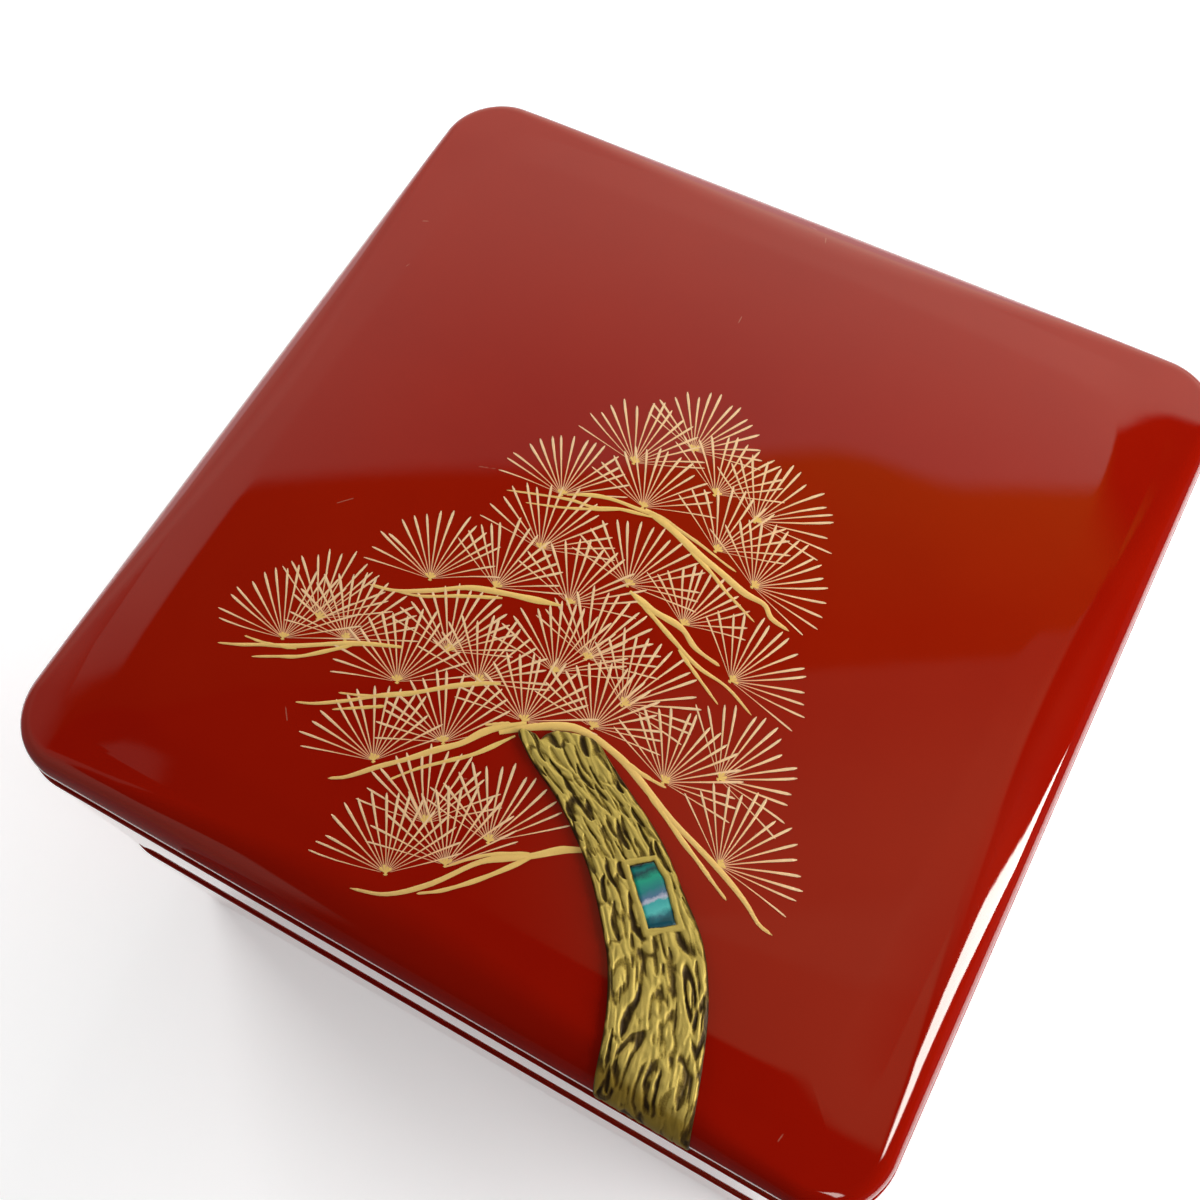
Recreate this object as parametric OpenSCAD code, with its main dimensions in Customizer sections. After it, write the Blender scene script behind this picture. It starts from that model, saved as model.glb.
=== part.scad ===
// Two-tier stacking food box with a domed lid. Every tier and the lid is a ring of
// four mitred boards. A lip of thin strips stands up out of each tier's rim and keys
// into the rebate under the piece above. Millimetres, +Z up, origin at the middle of
// the foot, front towards -Y.

/* [Tiers] */
// Outside width and depth of a tier at its rim
side = 195; // [170:1:240]
// Height of one tier
tier_h = 57.5; // [45:0.5:80]
// Thickness of the wall boards
wall_t = 6; // [5.6:0.1:8]
// Outside radius of the upright corners
corner_r = 15.5; // [15.5:0.5:24]
// How far the foot of a tier draws in from its rim on each side
draw_in = 0.65; // [0.1:0.05:0.8]
// Radius of the rim and foot edges
edge_r = 0.5; // [0.2:0.05:0.8]
// Thickness of a bottom board
floor_t = 4.5; // [3:0.1:8]
// How far a bottom board reaches into the walls
rabbet_d = 2.5; // [1.5:0.1:3.5]

/* [Lip] */
// Thickness of the lip strips
lip_t = 2.4; // [1.6:0.1:2.6]
// Height of the lip above the rim
lip_up = 4; // [2:0.1:7]
// Depth of the lip that is glued into the wall
lip_down = 6; // [3:0.1:12]
// Sideways play between a lip and the piece above
lip_gap = 0.35; // [0.1:0.05:0.5]
// Free height above a lip
lip_head = 0.6; // [0.2:0.1:1.5]
// Radius of the lip's upper edges
lip_edge_r = 0.8; // [0.2:0.1:1]

/* [Corner splines] */
// Thickness of the splines across the mitres
spline_t = 1.4; // [0.8:0.1:2]
// Width of the splines across the mitres
spline_w = 7; // [4:0.5:8]
// Distance of a spline's ends from the rebates
spline_end = 3; // [1:0.5:8]

/* [Lid] */
// Height of the lid above the rim at its middle
lid_h = 18.5; // [17:0.5:26]
// Rise of the lid's dome above the middle of its creases
dome_rise = 4.15; // [3:0.05:4.5]
// Radius of the lid's outer edge
lid_edge_r = 8; // [6:0.5:9]
// Width of the lid's rolled shoulder
shoulder_w = 14; // [11:0.5:18]
// Distance from the shoulder's inner edge out to the crease where the dome crosses it
crease_in = 2; // [1:0.25:3]
// Height of the lid's side rails above the upright part of its side
rail_up = 4.5; // [3.5:0.1:5.5]
// Thickness of the lid's top board at its middle
lid_t = 5; // [4:0.5:6]

/* [Trunk and inlay] */
// Height of the trunk relief over the lid
relief_h = 1.5; // [0.8:0.1:2.5]
// Width of the shell inlay
inlay_w = 5.8; // [4:0.1:7]
// Length of the shell inlay
inlay_l = 12; // [8:0.5:14]
// Depth of the inlay below the top of the relief
inlay_sunk = 0.3; // [0.1:0.1:0.4]
// Thickness of the shell inlay
inlay_t = 0.3; // [0.2:0.1:0.4]

/* [Hidden] */
$fn = 72;

FRONT = 0;
RIGHT = 1;
BACK = 2;
LEFT = 3;
LACQUER = [0.60, 0.07, 0.05];
INSIDE = [0.07, 0.05, 0.05];
WOOD = [0.72, 0.56, 0.38];
GOLD = [0.72, 0.58, 0.24];
SHELL = [0.18, 0.62, 0.60];

half = side / 2;
socket_x = wall_t - lip_t - lip_gap;
socket_h = lip_up + lip_head;
floor_top = socket_h + floor_t;
rim_z = 2 * tier_h;

lid_half = half - draw_in;
lid_corner_r = corner_r - draw_in;

// The shoulder is an arc of lid_edge_r that turns into a flatter arc, both laid out in
// short straight steps. The angles are the lean of the surface's normal from upright
// where the arcs meet and end. Heights here are above the top of the upright side.
lean_1 = 35;
lean_2 = 8;
tight_steps = 10;
flat_steps = 6;
arc_1_x = lid_edge_r * (1 - sin(lean_1));
arc_1_up = lid_edge_r * cos(lean_1);
flat_r = (shoulder_w - arc_1_x) / (sin(lean_1) - sin(lean_2));
flat_x = arc_1_x + flat_r * sin(lean_1);
flat_up = arc_1_up - flat_r * cos(lean_1);

// The dome is a sphere that crosses the shoulders at a soft crease, and comes down at
// the corners to cross them lower. The upright side takes up the height that is left.
crease_x = shoulder_w - crease_in;
crease_up = flat_up + sqrt(pow(flat_r, 2) - pow(flat_x - crease_x, 2));
dome_reach = lid_half - crease_x;
dome_r = (dome_reach * dome_reach + dome_rise * dome_rise) / (2 * dome_rise);
lid_side_h = lid_h - dome_rise - crease_up;
rail_h = lid_side_h + rail_up;

// How far a cut runs past the face it opens, and one block into its neighbour
past = 1;
core_lap = 0.5;

// The trunk lies between two arcs, each [centre x, centre y, radius], measured from
// the lid's middle across and from its front edge up.
trunk_outer = [-10.5, -14.5, 75.6];
trunk_inner = [-23.4, -15.2, 69.3];
trunk_foot = 0.8;
trunk_end = [0.8, 49.6];
trunk_end_lean = 25.5;
inlay_at = [38.5, 34.6];
inlay_lean = 42.6;

// Plan of a square with rounded corners
module rounded_square(h, r) {
    square([2 * h, 2 * (h - r)], center = true);
    square([2 * (h - r), 2 * h], center = true);
    for (x = [-1, 1], y = [-1, 1]) translate([x * (h - r), y * (h - r)]) circle(r);
}

// Carries a cross-section around the rounded square. In the section x is the distance
// in from the outside face and y is the height. Turning a corner, it ends at the axis.
module around(h, r) {
    for (k = [0:3]) rotate(90 * k) {
        translate([-(h - r), -h, 0]) rotate([90, 0, 90]) linear_extrude(2 * (h - r)) children();
        translate([h - r, -(h - r), 0]) rotate(-90) rotate_extrude(angle = 90) intersection() {
            translate([r, 0]) mirror([1, 0]) children();
            translate([0, -past]) square([r, tier_h + lid_h + past]);
        }
    }
}

// One side's share of a ring, out to the mitres at both ends
module sector(side_no) {
    rotate(90 * side_no) translate([0, 0, -past]) linear_extrude(tier_h + lid_h + 2 * past)
        polygon([[0, 0], [side, -side], [-side, -side]]);
}

// What is cut from a section's corner to round it: r at corner p, inwards along (dx, dy)
module edge_cut(p, r, dx, dy) {
    translate(p) scale([dx, dy]) difference() {
        translate([-past, -past]) square(r + past);
        translate([r, r]) circle(r);
    }
}

// Section of a tier's wall: rebates for the piece below, the bottom board and the lip
module wall_section() {
    difference() {
        polygon([[draw_in, 0], [wall_t, 0], [wall_t, tier_h], [0, tier_h]]);
        translate([socket_x, -past]) square([wall_t, socket_h + past]);
        translate([wall_t - rabbet_d, socket_h - past]) square([wall_t, floor_t + past]);
        translate([wall_t - lip_t, tier_h - lip_down]) square([wall_t, lip_down + past]);
        edge_cut([draw_in, 0], edge_r, 1, 1);
        edge_cut([0, tier_h], edge_r, 1, -1);
    }
}

module lip_section() {
    difference() {
        translate([wall_t - lip_t, tier_h - lip_down]) square([lip_t, lip_down + lip_up]);
        edge_cut([wall_t - lip_t, tier_h + lip_up], lip_edge_r, 1, -1);
        edge_cut([wall_t, tier_h + lip_up], lip_edge_r, -1, -1);
    }
}

// Points on an arc of the shoulder, from the lean just past a up to the lean b
function arc_points(x, z, r, a, b, steps) =
    [for (i = [1:steps]) let (lean = a + (b - a) * i / steps) [x - r * sin(lean), z + r * cos(lean)]];

// Section of the lid's shoulder: upright side, tight arc, flatter arc, a lap of the core
module shoulder_section() {
    polygon(concat(
        [[shoulder_w + core_lap, 0], [0, 0], [0, lid_side_h]],
        arc_points(lid_edge_r, lid_side_h, lid_edge_r, 90, lean_1, tight_steps),
        arc_points(flat_x, lid_side_h + flat_up, flat_r, lean_1, lean_2, flat_steps),
        [[shoulder_w, lid_h + past], [shoulder_w + core_lap, lid_h + past]]));
}

module rail_section() {
    difference() {
        intersection() {
            shoulder_section();
            square([wall_t - draw_in, rail_h]);
        }
        translate([socket_x - draw_in, -past]) square([wall_t, socket_h + past]);
        edge_cut([0, 0], edge_r, 1, 1);
    }
}

// Ball cap with its top at height top and the dome's centre
module dome_cap(top, r) {
    rotate_extrude($fn = 180) intersection() {
        translate([0, top - r]) circle(r, $fn = 1440);
        square([side, top + past]);
    }
}

// The lid's outside, as one solid block on the rim plane
module lid_form() {
    intersection() {
        union() {
            around(lid_half, lid_corner_r) shoulder_section();
            linear_extrude(lid_h + past)
                rounded_square(lid_half - shoulder_w, max(lid_corner_r - shoulder_w, core_lap));
        }
        dome_cap(lid_h, dome_r);
    }
}

// The four splines of one ring, in the middle of the boards across each mitre
module splines(outer_half, outer_r, section_mid, z_low, z_high) {
    reach = outer_half - outer_r + (outer_r - section_mid) / sqrt(2);
    for (k = [0:3]) rotate(90 * k) translate([reach, -reach, (z_low + z_high) / 2])
        rotate(-45) cube([spline_t, spline_w, z_high - z_low], center = true);
}

module tier_splines() {
    splines(half, corner_r, wall_t / 2, floor_top + spline_end, tier_h - lip_down - spline_end);
}

// The lid's splines fill the middle of what height the rails have above their rebate
module rail_splines() {
    rail_end = (rail_h - socket_h) / 6;
    splines(lid_half, lid_corner_r, (wall_t - draw_in + arc_1_x / 2) / 2,
        socket_h + rail_end, rail_h - rail_end);
}

module tier_wall(side_no, z) {
    color(LACQUER) translate([0, 0, z]) difference() {
        intersection() {
            around(half, corner_r) wall_section();
            sector(side_no);
        }
        tier_splines();
    }
}

module tier_lip(side_no, z) {
    color(INSIDE) translate([0, 0, z]) intersection() {
        around(half, corner_r) lip_section();
        sector(side_no);
    }
}

module tier_floor(z) {
    color(INSIDE) translate([0, 0, z + socket_h]) linear_extrude(floor_t)
        rounded_square(half - wall_t + rabbet_d, corner_r - wall_t + rabbet_d);
}

module lid_rail(side_no) {
    color(LACQUER) translate([0, 0, rim_z]) difference() {
        intersection() {
            around(lid_half, lid_corner_r) rail_section();
            sector(side_no);
            dome_cap(lid_h, dome_r);
        }
        rail_splines();
    }
}

module lower_front_wall() { tier_wall(FRONT, 0); }
module lower_right_wall() { tier_wall(RIGHT, 0); }
module lower_back_wall() { tier_wall(BACK, 0); }
module lower_left_wall() { tier_wall(LEFT, 0); }
module lower_floor() { tier_floor(0); }
module lower_corner_splines() { color(WOOD) tier_splines(); }
module lower_front_lip() { tier_lip(FRONT, 0); }
module lower_right_lip() { tier_lip(RIGHT, 0); }
module lower_back_lip() { tier_lip(BACK, 0); }
module lower_left_lip() { tier_lip(LEFT, 0); }

module upper_front_wall() { tier_wall(FRONT, tier_h); }
module upper_right_wall() { tier_wall(RIGHT, tier_h); }
module upper_back_wall() { tier_wall(BACK, tier_h); }
module upper_left_wall() { tier_wall(LEFT, tier_h); }
module upper_floor() { tier_floor(tier_h); }
module upper_corner_splines() { color(WOOD) translate([0, 0, tier_h]) tier_splines(); }
module upper_front_lip() { tier_lip(FRONT, tier_h); }
module upper_right_lip() { tier_lip(RIGHT, tier_h); }
module upper_back_lip() { tier_lip(BACK, tier_h); }
module upper_left_lip() { tier_lip(LEFT, tier_h); }

module lid_front_rail() { lid_rail(FRONT); }
module lid_right_rail() { lid_rail(RIGHT); }
module lid_back_rail() { lid_rail(BACK); }
module lid_left_rail() { lid_rail(LEFT); }
module lid_corner_splines() { color(WOOD) translate([0, 0, rim_z]) rail_splines(); }

// The domed top board, hollowed to a dome underneath, glued on the rails
module lid_top() {
    color(LACQUER) translate([0, 0, rim_z]) difference() {
        lid_form();
        translate([0, 0, -past]) linear_extrude(rail_h + past) square(2 * side, center = true);
        dome_cap(lid_h - lid_t, dome_r - lid_t);
    }
}

// Plan of the trunk: a crescent between two arcs, cut off at its foot and its end
module trunk_plan() {
    translate([0, -lid_half]) difference() {
        translate([trunk_outer[0], trunk_outer[1]]) circle(trunk_outer[2], $fn = 240);
        translate([trunk_inner[0], trunk_inner[1]]) circle(trunk_inner[2], $fn = 240);
        translate([-side, -side]) square([2 * side, side + trunk_foot]);
        translate(trunk_end) rotate(trunk_end_lean) translate([-side, 0]) square([2 * side, side]);
        translate([-side, -side]) square([side, 2 * side]);
    }
}

module inlay_plan() {
    translate([inlay_at[0], inlay_at[1] - lid_half]) rotate(inlay_lean)
        square([inlay_w, inlay_l], center = true);
}

// The lid's form raised by a height, cut to a column over a plan
module raised(height) {
    intersection() {
        translate([0, 0, height]) lid_form();
        linear_extrude(lid_h + relief_h + past) children();
    }
}

module trunk_relief() {
    color(GOLD) translate([0, 0, rim_z]) difference() {
        raised(relief_h) trunk_plan();
        lid_form();
        difference() {
            raised(relief_h + past) inlay_plan();
            translate([0, 0, relief_h - inlay_sunk - inlay_t]) lid_form();
        }
    }
}

module shell_inlay() {
    color(SHELL) translate([0, 0, rim_z]) difference() {
        raised(relief_h - inlay_sunk) inlay_plan();
        translate([0, 0, relief_h - inlay_sunk - inlay_t]) lid_form();
    }
}

lower_front_wall();
lower_right_wall();
lower_back_wall();
lower_left_wall();
lower_floor();
lower_corner_splines();
lower_front_lip();
lower_right_lip();
lower_back_lip();
lower_left_lip();
upper_front_wall();
upper_right_wall();
upper_back_wall();
upper_left_wall();
upper_floor();
upper_corner_splines();
upper_front_lip();
upper_right_lip();
upper_back_lip();
upper_left_lip();
lid_front_rail();
lid_right_rail();
lid_back_rail();
lid_left_rail();
lid_corner_splines();
lid_top();
trunk_relief();
shell_inlay();
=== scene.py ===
# %% [markdown]
# # A stacking lacquer box with a pine tree in gold
# The box is two square tiers and a loose domed lid, all in mirror-bright vermilion lacquer.
# A pine is drawn on the lid: fine gold needles, brushed gold boughs, a raised trunk with a
# chip of shell let into it. The construction is already packed as a frame. This lesson dresses it.
# Everything is in metres, +Z up, with the origin at the middle of the foot and the front at -Y.

# %% Load the frame and keep its box
import math

import bpy
import numpy as np
from mathutils import Matrix, Vector


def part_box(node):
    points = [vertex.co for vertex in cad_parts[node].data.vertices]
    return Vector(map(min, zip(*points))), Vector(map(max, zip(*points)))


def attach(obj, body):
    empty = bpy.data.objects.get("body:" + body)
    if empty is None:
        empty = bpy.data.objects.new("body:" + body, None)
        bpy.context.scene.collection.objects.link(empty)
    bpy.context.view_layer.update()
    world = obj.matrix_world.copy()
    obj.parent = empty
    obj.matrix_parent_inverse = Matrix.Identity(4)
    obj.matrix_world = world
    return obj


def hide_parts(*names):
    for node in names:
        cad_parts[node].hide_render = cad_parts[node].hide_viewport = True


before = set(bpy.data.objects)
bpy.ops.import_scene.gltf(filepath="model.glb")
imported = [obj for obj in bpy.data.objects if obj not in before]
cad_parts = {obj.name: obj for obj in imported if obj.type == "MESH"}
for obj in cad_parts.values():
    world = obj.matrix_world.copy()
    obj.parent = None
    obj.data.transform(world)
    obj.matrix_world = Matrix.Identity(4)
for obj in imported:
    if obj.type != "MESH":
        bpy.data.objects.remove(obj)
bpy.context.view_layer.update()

# %% [markdown]
# ## Sizes
# What the frame can tell is asked of the frame, so the looks never drift from the construction.
# The rest are real sizes of the boards and of the lid's rolled shoulder, written once here.

# %% Sizes asked of the frame
MM = 0.001
RIM_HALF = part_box("upper_right_wall")[1].x
LID_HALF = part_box("lid_right_rail")[1].x
DRAW_IN = RIM_HALF - LID_HALF
RIM_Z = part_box("lid_front_rail")[0].z
TIER_H = RIM_Z / 2
FLOOR_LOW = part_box("lower_floor")[0].z
FLOOR_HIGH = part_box("lower_floor")[1].z
FLOOR_IN = RIM_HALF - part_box("lower_floor")[1].x
LIP_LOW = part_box("lower_front_lip")[0].z
LIP_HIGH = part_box("lower_front_lip")[1].z
LIP_OUT = RIM_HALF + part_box("lower_front_lip")[0].y
RAIL_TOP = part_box("lid_top")[0].z - RIM_Z
LID_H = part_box("lid_top")[1].z - RIM_Z
print("rim half", round(RIM_HALF / MM, 2), "mm, rim at", round(RIM_Z / MM, 2), "mm")

# %% Sizes of the boards and the lid
WALL_T = 6 * MM
CORNER_R = 15.5 * MM
LID_CORNER_R = CORNER_R - DRAW_IN
SOCKET_IN = 3.25 * MM
EDGE_R = 0.5 * MM
LIP_EDGE_R = 0.8 * MM
FILLET = 0.15 * MM
LID_T = 5 * MM
SHOULDER_W = 14 * MM
CREASE_IN = 2 * MM
DOME_RISE = 4.15 * MM
TIGHT_R = 8 * MM
LEAN_1 = math.radians(35)
LEAN_2 = math.radians(8)

tight_x = TIGHT_R * (1 - math.sin(LEAN_1))
flat_r = (SHOULDER_W - tight_x) / (math.sin(LEAN_1) - math.sin(LEAN_2))
flat_x = tight_x + flat_r * math.sin(LEAN_1)
flat_up = TIGHT_R * math.cos(LEAN_1) - flat_r * math.cos(LEAN_1)
crease_x = SHOULDER_W - CREASE_IN
crease_up = flat_up + math.sqrt(flat_r ** 2 - (flat_x - crease_x) ** 2)
dome_r = ((LID_HALF - crease_x) ** 2 + DOME_RISE ** 2) / (2 * DOME_RISE)
SIDE_UP = LID_H - DOME_RISE - crease_up
print("dome radius", round(dome_r / MM, 1), "mm, upright side", round(SIDE_UP / MM, 2), "mm")

# %% [markdown]
# ## Finishes
# Lacquer is a clear, deep coat: a plain diffuse colour under a sharp reflection. The colour
# varies a little where the brush laid it thicker, and dust and wiping leave specks and a faint
# haze. Gold is powder on wet lacquer, so it is metal with a fine grain and a soft shine.
# Each finish is a small tree of nodes on Object coordinates, so it stays put on its piece.

# %% Helpers for node trees
def new_material(name):
    """A material with an empty surface shader, as (material, node tree, shader)."""
    material = bpy.data.materials.new(name)
    material.use_nodes = True
    tree = material.node_tree
    return material, tree, tree.nodes["Principled BSDF"]


def add_node(tree, kind, inputs=None, **settings):
    """Adds a node, sets its properties, and sets or links its inputs by name or number."""
    made = tree.nodes.new(kind)
    for key, value in settings.items():
        setattr(made, key, value)
    for key, value in (inputs or {}).items():
        if isinstance(value, bpy.types.NodeSocket):
            tree.links.new(value, made.inputs[key])
        else:
            made.inputs[key].default_value = value
    return made


def ramp(tree, source, stops, interpolation="LINEAR"):
    """A colour ramp over source through (position, colour) stops."""
    made = add_node(tree, "ShaderNodeValToRGB", {"Fac": source})
    made.color_ramp.interpolation = interpolation
    elements = made.color_ramp.elements
    while len(elements) < len(stops):
        elements.new(0.5)
    for element, (position, colour) in zip(elements, stops):
        element.position = position
        element.color = (*colour, 1)
    return made.outputs["Color"]


def noise(tree, where, scale, detail=3, roughness=0.5, distortion=0):
    """Soft cloudy noise with its features 1/scale metres apart."""
    made = add_node(tree, "ShaderNodeTexNoise", {"Vector": where, "Scale": scale,
        "Detail": detail, "Roughness": roughness, "Distortion": distortion})
    return made.outputs["Fac"]


def object_coordinates(tree):
    return add_node(tree, "ShaderNodeTexCoord").outputs["Object"]


def bump(tree, shader, height, depth, strength=1):
    """Bends the shading normal as if the surface rose by height times depth metres."""
    made = add_node(tree, "ShaderNodeBump", {"Height": height, "Distance": depth, "Strength": strength})
    tree.links.new(made.outputs["Normal"], shader.inputs["Normal"])


def set_inputs(shader, **values):
    """Sets the shader's own sockets; an underscore in a name stands for a space."""
    for key, value in values.items():
        shader.inputs[key.replace("_", " ")].default_value = value

# %% Lacquer
def lacquer(name, thin, thick, roughness, speck):
    """Mirror-bright lacquer between two near colours, with a few specks and hairs of dust on it."""
    material, tree, shader = new_material(name)
    where = object_coordinates(tree)
    cloud = noise(tree, where, 14, detail=4, roughness=0.6)
    body = ramp(tree, cloud, [(0.3, thin), (0.7, thick)])
    dots = add_node(tree, "ShaderNodeTexVoronoi", {"Vector": where, "Scale": 170})
    near = ramp(tree, dots.outputs["Distance"], [(0.018, (1, 1, 1)), (0.036, (0, 0, 0))])
    few = ramp(tree, dots.outputs["Color"], [(0.92, (0, 0, 0)), (0.96, (1, 1, 1))])
    specks = add_node(tree, "ShaderNodeMath", {0: near, 1: few}, operation="MULTIPLY")
    lines = add_node(tree, "ShaderNodeTexVoronoi", {"Vector": where, "Scale": 80}, feature="DISTANCE_TO_EDGE")
    thread = ramp(tree, lines.outputs["Distance"], [(0.004, (0.35, 0.35, 0.35)), (0.012, (0, 0, 0))])
    patch = ramp(tree, noise(tree, where, 130), [(0.7, (0, 0, 0)), (0.73, (1, 1, 1))])
    hairs = add_node(tree, "ShaderNodeMath", {0: thread, 1: patch}, operation="MULTIPLY")
    dust = add_node(tree, "ShaderNodeMath", {0: specks.outputs[0], 1: hairs.outputs[0]}, operation="MAXIMUM")
    mixed = add_node(tree, "ShaderNodeMix", data_type="RGBA")
    tree.links.new(dust.outputs[0], mixed.inputs[0])
    tree.links.new(body, mixed.inputs[6])
    mixed.inputs[7].default_value = (*speck, 1)
    tree.links.new(mixed.outputs[2], shader.inputs["Base Color"])
    haze = noise(tree, where, 60, detail=5, roughness=0.7)
    low, high = roughness
    dull = ramp(tree, haze, [(0.35, (low,) * 3), (0.75, (high,) * 3)])
    tree.links.new(dull, shader.inputs["Roughness"])
    bump(tree, shader, noise(tree, where, 160, detail=2), 0.02 * MM, 0.25)
    set_inputs(shader, IOR=1.5)
    return material


VERMILION = lacquer("vermilion_lacquer", (0.30, 0.004, 0.0002), (0.335, 0.007, 0.0003), (0.02, 0.05),
    (0.6, 0.3, 0.2))
BLACK = lacquer("black_lacquer", (0.012, 0.008, 0.007), (0.02, 0.012, 0.01), (0.06, 0.12),
    (0.2, 0.18, 0.17))
print("lacquers", VERMILION.name, BLACK.name)

# %% [markdown]
# ### Gold, bark, shell and wood
# The needles' gold is thin over the red where they leave their hub and thick and pale at the tips.
# The bark's gold is rubbed off in its hollows, so the dark ground shows as specks; the mesh carries
# how high each point stands as an attribute called ridge. Shell shows bands of green, blue and violet.

# %% Gold of the needles and boughs
def brushed_gold():
    """Gold powder on a fine lacquer line; the attribute along is 0 where it lies thick, then runs
    from 0.15 at the hub, where the red shows through, to 1 at the tip."""
    material, tree, shader = new_material("gold_line")
    where = object_coordinates(tree)
    along = add_node(tree, "ShaderNodeAttribute", attribute_name="along").outputs["Fac"]
    tone = ramp(tree, along, [(0.0, (0.97, 0.64, 0.18)), (0.15, (0.88, 0.45, 0.24)),
        (0.6, (1, 0.62, 0.32)), (1.0, (1, 0.69, 0.40))])
    grain = ramp(tree, noise(tree, where, 5000, detail=2), [(0.3, (0.8, 0.78, 0.72)), (0.6, (1, 1, 1))])
    mixed = add_node(tree, "ShaderNodeMix", data_type="RGBA", blend_type="MULTIPLY")
    mixed.inputs[0].default_value = 0.3
    tree.links.new(tone, mixed.inputs[6])
    tree.links.new(grain, mixed.inputs[7])
    tree.links.new(mixed.outputs[2], shader.inputs["Base Color"])
    bump(tree, shader, noise(tree, where, 6000, detail=2), 0.03 * MM, 0.4)
    set_inputs(shader, Metallic=0.15, Roughness=0.42)
    return material


GOLD = brushed_gold()

# %% Gold of the bark
def bark_gold():
    """Gold over a dark ground: ridge is 0 in the hollows and 1 on the ridges. A second attribute is 1 at the foot,
    where the trunk turns down over the lid's front; there the gold takes a darker tone, which is painted shade, and a
    softer shine.
    """
    material, tree, shader = new_material("gold_bark")
    where = object_coordinates(tree)
    ridge = add_node(tree, "ShaderNodeAttribute", attribute_name="ridge").outputs["Fac"]
    shaded_foot = add_node(tree, "ShaderNodeAttribute", attribute_name="shaded_foot").outputs["Fac"]
    grain = noise(tree, where, 2600, detail=5, roughness=0.8)
    rubbed = add_node(tree, "ShaderNodeMath", {0: grain, 1: 0.6, 2: ridge}, operation="MULTIPLY_ADD")
    bright = ramp(tree, rubbed.outputs[0], [(0.36, (0.035, 0.018, 0.003)), (0.66, (0.12, 0.075, 0.012)),
        (0.88, (0.37, 0.26, 0.045)), (1.0, (0.58, 0.43, 0.10))])
    shaded_tone = ramp(tree, rubbed.outputs[0], [(0.32, (0.04, 0.018, 0.001)), (0.75, (0.17, 0.095, 0.006)),
        (1.0, (0.34, 0.22, 0.025))])
    # Painted shade: towards the foot the gold is mixed over to the darker tone.
    mixed = add_node(tree, "ShaderNodeMix", data_type="RGBA")
    tree.links.new(shaded_foot, mixed.inputs[0])
    tree.links.new(bright, mixed.inputs[6])
    tree.links.new(shaded_tone, mixed.inputs[7])
    tree.links.new(mixed.outputs[2], shader.inputs["Base Color"])
    dull = ramp(tree, shaded_foot, [(0.0, (0.42, 0.42, 0.42)), (1.0, (0.75, 0.75, 0.75))])
    tree.links.new(dull, shader.inputs["Roughness"])
    bump(tree, shader, grain, 0.08 * MM, 0.7)
    set_inputs(shader, Metallic=0.3, Specular_IOR_Level=0.3)
    return material


BARK = bark_gold()

# %% Shell
def shell():
    """Abalone: the attribute band runs down the chip through blue-black, green, violet and
    turquoise, bent and streaked by noise, under a polished coat."""
    material, tree, shader = new_material("abalone_shell")
    where = object_coordinates(tree)
    band = add_node(tree, "ShaderNodeAttribute", attribute_name="band").outputs["Fac"]
    cloud = noise(tree, where, 700, detail=4, roughness=0.6)
    bent = add_node(tree, "ShaderNodeMath", {0: cloud, 1: 0.16, 2: band}, operation="MULTIPLY_ADD")
    colour = ramp(tree, bent.outputs[0], [(0.08, (0.003, 0.014, 0.03)), (0.16, (0.004, 0.24, 0.22)),
        (0.24, (0.01, 0.07, 0.09)), (0.34, (0.01, 0.42, 0.28)), (0.5, (0.02, 0.26, 0.28)),
        (0.62, (0.10, 0.22, 0.38)), (0.67, (0.62, 0.62, 0.80)), (0.71, (0.06, 0.48, 0.50)),
        (0.84, (0.10, 0.62, 0.60)), (0.93, (0.01, 0.16, 0.22)), (1.0, (0.008, 0.09, 0.13))])
    tree.links.new(colour, shader.inputs["Base Color"])
    bump(tree, shader, cloud, 0.05 * MM, 0.5)
    set_inputs(shader, Metallic=0.2, Roughness=0.2, Coat_Weight=1, Coat_Roughness=0.05)
    return material


SHELL = shell()

# %% Bare wood
def bare_wood():
    """Straight-grained softwood: noise stretched ten times along the grain."""
    material, tree, shader = new_material("bare_wood")
    long = add_node(tree, "ShaderNodeMapping", {"Vector": object_coordinates(tree), "Scale": (1, 1, 0.1)})
    rings = noise(tree, long.outputs[0], 900, detail=5, roughness=0.6)
    colour = ramp(tree, rings, [(0.35, (0.42, 0.25, 0.12)), (0.65, (0.66, 0.47, 0.28))])
    tree.links.new(colour, shader.inputs["Base Color"])
    bump(tree, shader, rings, 0.08 * MM, 0.4)
    set_inputs(shader, Roughness=0.62)
    return material


WOOD = bare_wood()
print("finishes", [m.name for m in (GOLD, BARK, SHELL, WOOD)])

# %% [markdown]
# ## From arrays to meshes
# Every new piece is worked out as whole arrays. Each face corner gets its own normal from the
# formula, because a mirror finish shows the smallest kink: two boards that meet at a mitre then
# shade as one surface, and a hard edge stays hard. A closed mesh has a volume, and its sign
# says whether the faces point outwards.

# %% Make a piece
def unit(v):
    return v / np.linalg.norm(v, axis=-1, keepdims=True)


def volume(points, parts):
    """Sum of the tetrahedra between the origin and each face's fan of triangles."""
    total = 0.0
    for faces, _, _ in parts:
        p = points[faces]
        for k in range(1, faces.shape[1] - 1):
            total += np.einsum("ij,ij->", p[:, 0], np.cross(p[:, k], p[:, k + 1])) / 6
    return total


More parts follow.
